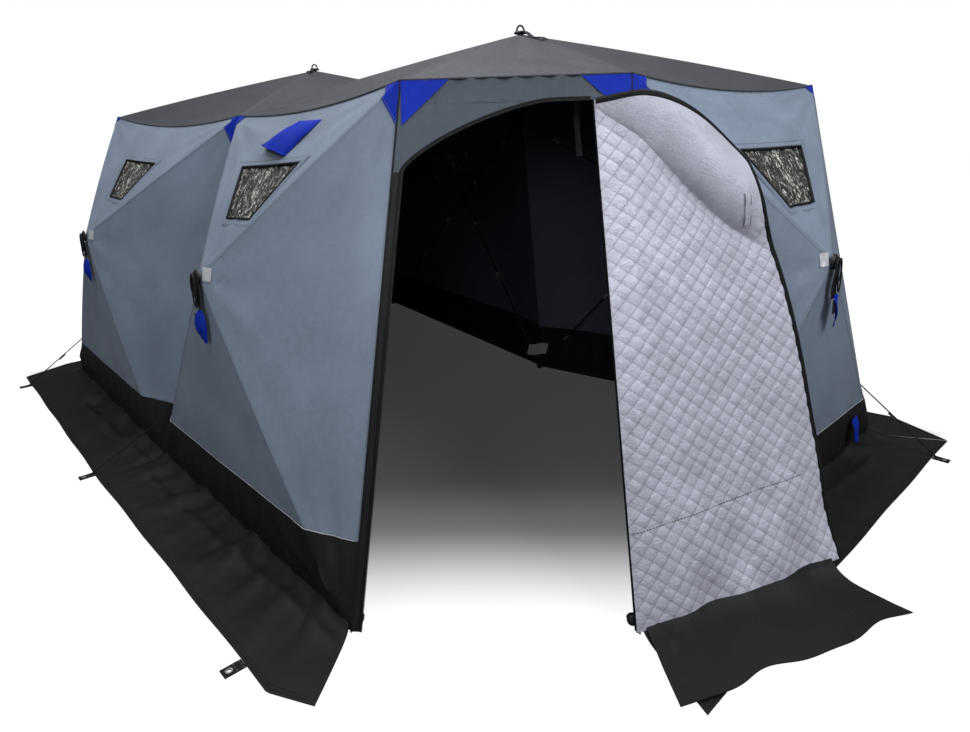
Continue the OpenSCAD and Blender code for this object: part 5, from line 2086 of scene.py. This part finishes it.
    def eave_end(self, i: int) -> Array:
        """Returns the end of the poles at a roof corner."""
        return self.plan.eave[i] + (self.plan.mitre(i) - UP) * self.eave_inset

    def foot_end(self, i: int) -> Array:
        """Returns the end of the poles at a foot."""
        return self.plan.foot[i] + self.plan.mitre(i) * self.foot_inset + UP * self.foot_lift

    def sockets(self) -> None:
        """Builds the pole end boots in the corners."""
        boots = Stock()
        profile = [(0.0, -0.02), (0.01, -0.0185), (0.0165, -0.013), (0.0195, -0.005), (0.02, 0.003),
                   (0.0185, 0.006), (0.0185, 0.008), (0.02, 0.01), (0.0175, 0.014), (0.012, 0.0185),
                   (0.0065, 0.02), (0.0, 0.02)]
        for i in range(CORNERS):
            m = self.plan.mitre(i)
            lathe(boots, profile, self.eave_end(i), m - UP * 0.6)
            lathe(boots, profile, self.foot_end(i), m * 0.4 + UP)
        self.finishes.fit(boots, "corner_boots", "plastic", Slot.PLASTIC, "corner_sockets")

    def ferrules(self) -> None:
        """Builds the joining collars along the poles."""
        rows, lines = Rows(), []
        depth = self.plan.fabric + self.pole_depth
        for i in self.plan.WALLS:
            centre = self.plan.hub(i) - self.plan.facing[i] * depth
            for k in (i, after(i)):
                lines += [(centre, self.eave_end(k)), (centre, self.foot_end(k))]
        for r, ring in enumerate(self.plan.RINGS):
            lines += [(self.plan.apex[r] - UP * depth, self.eave_end(k)) for k in ring]
        for a, b in lines:
            way = unit(b - a)
            rows.add(np.stack([a + way * 0.3, b - way * 0.3]), unit(np.cross(way, UP)))
        made = rows.piece("pole_ferrules", self.ferrule_spacing, self.ferrule,
                          self.finishes.get("metal"), False)
        ride(made, Body.HUT, Slot.METAL)

    def spot(self, n: int) -> Array:
        """Returns the place of an anchor eyelet on the ground."""
        _, w, share = self.anchors[n]
        a, b = self.plan.foot[w], self.plan.foot[after(w)]
        reach = self.skirt_width + 0.0003 + self.tab_reach - self.tab_end
        return a + (b - a) * share + self.plan.out_of(w) * reach

    def line_ends(self, n: int) -> tuple[Array, Array]:
        """Returns the upper and lower ends of the taut line at an anchor."""
        c, w, _ = self.anchors[n]
        up = unit(self.plan.eave[c] - self.plan.foot[c])
        out = -unit(self.plan.mitre(c))
        top = self.plan.foot[c] + up * self.plan.band_height + out * (self.line + 0.0003)
        return top, self.spot(n) - self.plan.out_of(w) * 0.034 + UP * 0.008

    def lines(self) -> None:
        """Builds the taut twisted lines from the corners to the anchor tabs."""
        cords, sliders = Stock(), Stock()
        for n in self.lined:
            top, low = self.line_ends(n)
            way = unit(top - low)
            x = unit(np.cross(way, UP))
            y = np.cross(way, x)
            span = float(np.linalg.norm(top - low))
            t = np.linspace(0, 1, int(span / 0.004))[:, None]
            for k in range(self.strands):
                turn = t * span * 2 * math.pi / self.lay + 2 * math.pi * k / self.strands
                round_it = (x * np.cos(turn) + y * np.sin(turn)) * self.strand_off
                tube(cords, low + way * span * t + round_it, self.strand, 6)
            tall, wide, thick = self.slider
            q = np.linspace(0.5, 0.5 + tall / span, 6)[:, None]
            ribbon(sliders, low + way * span * q + y * 0.003, y, wide, thick)
        self.finishes.fit(cords, "anchor_cords", "cord", Slot.WEBBING, "anchor_lines")
        self.finishes.fit(sliders, "anchor_sliders", "plastic", Slot.PLASTIC)

    def trim(self) -> None:
        """Builds the blue tab on the right end's band, and a pale foot pocket inside."""
        tab, pocket = Stock(), Stock()
        c, w, _ = self.anchors[self.tabbed]
        up, out = unit(self.plan.eave[c] - self.plan.foot[c]), self.plan.out_of(w)
        back, down, off = self.trim_place
        fall = np.linspace(0, self.trim_at[-1], 12)[:, None]
        hung = self.line_ends(self.tabbed)[0] - self.plan.run_of(w) * back - up * (fall + down)
        ribbon(tab, hung + out * (off + 0.004 * np.sin(40 * fall)), out,
               np.interp(fall[:, 0], self.trim_at, self.trim_widths), self.tab_sheet)
        self.finishes.fit(tab, "corner_tab", "accent", Slot.ACCENT, crease=50)
        k, (inward, high) = self.pocket_corner, self.pocket_place
        wide, tall, thick = self.pocket
        x = np.linspace(-wide / 2, wide / 2, 14)[:, None]
        foot = self.plan.foot[k] + unit(self.plan.mitre(k)) * inward + UP * high
        ribbon(pocket, foot + np.array([1.0, 0.0, 0.0]) * x + UP * 0.02 * np.sin(20 * x),
               np.array(self.pocket_face), tall, thick)
        self.finishes.fit(pocket, "foot_pocket", "patch", Slot.WALL)

    def tacks(self, stitches: Rows) -> None:
        """Adds the box stitching on the anchor tabs."""
        half, deep = self.tack_box
        for n in range(len(self.anchors)):
            o = self.plan.out_of(self.anchors[n][1])
            side, out = np.cross(UP, o) * half, o * deep
            root = self.spot(n) - o * (self.tab_reach - self.tab_end - 0.008) + UP * 0.0043
            box = [root - side, root + side, root + side + out, root - side + out, root - side]
            for a, b in zip(box, box[1:]):
                stitches.add(np.linspace(a, b, 8), UP)

    def build(self, stitches: Rows) -> None:
        """Builds all the rigging.

        Args:
            stitches: rows that the tabs' stitching is added to.
        """
        self.pulls()
        self.roof_pulls()
        self.sockets()
        self.ferrules()
        self.lines()
        self.trim()
        self.tacks(stitches)


@dataclass
class Studio:
    """Camera, lamps, floor and background."""

    size: tuple[int, int] = (970, 732)
    focal: float = 669.93
    place: tuple[float, float, float] = (3.2822, -2.3627, 1.6312)
    azimuth: float = math.radians(47.58)
    pitch: float = math.radians(12.73)
    roll: float = -0.0272
    centre: tuple[float, float] = (-0.05, -79.92)
    floor: Colour = (0.13, 0.13, 0.133)
    glow: float = 0.98
    ambient: float = 0.11
    half: float = 60.0
    floor_drop: float = 0.001

    LAMPS = (("key", (6.6, -0.4, 4.8), (0.8, 0.0, 1.0), 3.5, 360.0),
             ("fill", (2.5, -6.5, 3.4), (0.0, 0.0, 1.0), 4.0, 120.0),
             ("porch", (3.0, -2.15, 1.9), (-0.3, 1.2, 0.3), 0.5, 1.3, 42.0),
             ("sky", (0.0, -0.5, 6.5), (0.0, 0.0, 0.0), 7.0, 640.0))

    def camera(self) -> None:
        """Makes the camera at the photograph's place and view."""
        az, p, ro = self.azimuth, self.pitch, self.roll
        fwd = np.array([-math.sin(az) * math.cos(p), math.cos(az) * math.cos(p), -math.sin(p)])
        right = np.array([math.cos(az), math.sin(az), 0.0])
        up = np.cross(right, fwd)
        r2 = math.cos(ro) * right + math.sin(ro) * up
        u2 = -math.sin(ro) * right + math.cos(ro) * up
        data = bpy.data.cameras.new("camera")
        data.sensor_fit, data.sensor_width = "HORIZONTAL", 36.0
        data.lens = self.focal * data.sensor_width / self.size[0]
        data.shift_x = -self.centre[0] / self.size[0]
        data.shift_y = self.centre[1] / self.size[0]
        data.clip_start, data.clip_end = 0.05, 200.0
        made = bpy.data.objects.new("camera", data)
        turn = Matrix([(r2[k], u2[k], -fwd[k]) for k in range(3)]).to_4x4()
        made.matrix_world = Matrix.Translation(self.place) @ turn
        bpy.context.scene.collection.objects.link(made)
        bpy.context.scene.camera = made

    def lamp(self, name: str, place: tuple, aim: tuple, size: float, power: float,
             spread: float = 180.0) -> None:
        """Makes a soft square lamp.

        Args:
            name: its name.
            place: where it stands.
            aim: the point that it faces.
            size: side of the square.
            power: watts.
            spread: angle of its beam in degrees.
        """
        data = bpy.data.lights.new(name, "AREA")
        data.spread = math.radians(spread)
        data.size, data.energy = size, power
        made = bpy.data.objects.new(name, data)
        made.location = place
        made.rotation_mode = "QUATERNION"
        made.rotation_quaternion = (Vector(aim) - Vector(place)).to_track_quat("-Z", "Y")
        bpy.context.scene.collection.objects.link(made)

    def pale(self) -> bpy.types.Material:
        """Returns the floor's material, lifted toward white where the camera sees it, with painted
        light in a gradient across the doorway's floor.
        """
        s = Shader("floor_pale")
        seen = s.node("ShaderNodeLightPath").outputs["Is Camera Ray"]
        axes = s.node("ShaderNodeSeparateXYZ", {"Vector": s.coords("Object", 1.0)})
        x, y = axes.outputs["X"], axes.outputs["Y"]
        off = s.math("SUBTRACT", x, y)
        # Painted light: the floor's glow rises from faint over the hut's middle to near white past
        # the doorway, a gradient of light across the doorway's floor.
        porch = s.math("ADD", s.ramp(off, 2.0, 2.95, (0.035, 0.92)),
                       s.ramp(off, 1.4, 2.2, (0.0, 0.08)))
        beyond = s.math("MAXIMUM", s.ramp(s.math("ABSOLUTE", x), 2.2, 2.6),
                        s.ramp(s.math("ABSOLUTE", y), 1.42, 1.8))
        lit = s.math("MULTIPLY", seen, s.math("MAXIMUM", porch, beyond))
        s.set(Base_Color=(*self.floor, 1.0), Roughness=0.9, Specular_IOR_Level=0.1,
              Emission_Color=(1.0, 1.0, 1.0, 1.0),
              Emission_Strength=s.math("MULTIPLY", lit, self.glow))
        return s.material

    def build(self) -> None:
        """Builds the stage."""
        scene = bpy.context.scene
        scene.view_settings.view_transform = "Standard"
        self.camera()
        mesh = bpy.data.meshes.new("floor")
        corners = [(x * self.half, y * self.half, -self.floor_drop)
                   for x, y in ((-1, -1), (1, -1), (1, 1), (-1, 1))]
        mesh.from_pydata(corners, [], [(0, 1, 2, 3)])
        mesh.materials.append(self.pale())
        floor = bpy.data.objects.new("floor", mesh)
        scene.collection.objects.link(floor)
        world = bpy.data.worlds.new("studio")
        scene.world = world
        world.use_nodes = True
        nodes, links = world.node_tree.nodes, world.node_tree.links
        back = nodes["Background"]
        back.inputs["Color"].default_value = (1.0, 1.0, 1.0, 1.0)
        path = nodes.new("ShaderNodeLightPath")
        level = nodes.new("ShaderNodeMapRange")
        level.inputs["To Min"].default_value = self.ambient
        level.inputs["To Max"].default_value = 1.0
        links.new(path.outputs["Is Camera Ray"], level.inputs["Value"])
        links.new(level.outputs["Result"], back.inputs["Strength"])
        for lamp in self.LAMPS:
            self.lamp(*lamp)


def dress_nodes(nodes: dict[str, bpy.types.Object], finishes: Finishes) -> None:
    """Gives the CAD nodes that stay in view their finishes."""
    kept = {"pole_hubs": "plastic", "anchor_tabs": "webbing", "eyelets": "metal",
            "door_piping": "tape"}
    for name, node in nodes.items():
        finish = "fibre" if name.endswith("_poles") else kept.get(name)
        if finish:
            node.data.materials.clear()
            node.data.materials.append(finishes.get(finish))


def main() -> None:
    """Builds the hut's pieces in order."""
    logging.basicConfig(level=logging.INFO, format="%(name)s %(message)s")
    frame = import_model()
    finishes, plan = Finishes(), Plan()
    Studio().build()
    door = DoorPlan(plan)
    stitches, hems = Rows(), Rows()
    windows = Windows(plan, finishes)
    shell = Shell(plan, finishes, windows)
    skirts = Skirts(plan, finishes)
    for i, name in plan.WALLS.items():
        skirts.build(i, name, shell.wall(i, name), stitches, hems)
    shell.roof(0, "left_roof")
    shell.roof(1, "right_roof")
    shell.seams(stitches)
    windows.build(stitches)
    Doorway(door, finishes).build(hems)
    Door(door, finishes).build()
    Patches(plan, door, finishes).build(stitches)
    Hood(plan, finishes).build()
    Rigging(plan, finishes).build(stitches)
    for rows, name, finish, slot in ((stitches, "seam_stitches", "thread", Slot.WALL),
                                     (hems, "hem_stitches", "tape", Slot.SKIRT)):
        ride(rows.piece(name, STITCH_SPACING, STITCH, finishes.get(finish)), Body.HUT, slot)
    dress_nodes(frame["nodes"], finishes)


if __name__ == "__main__":
    main()
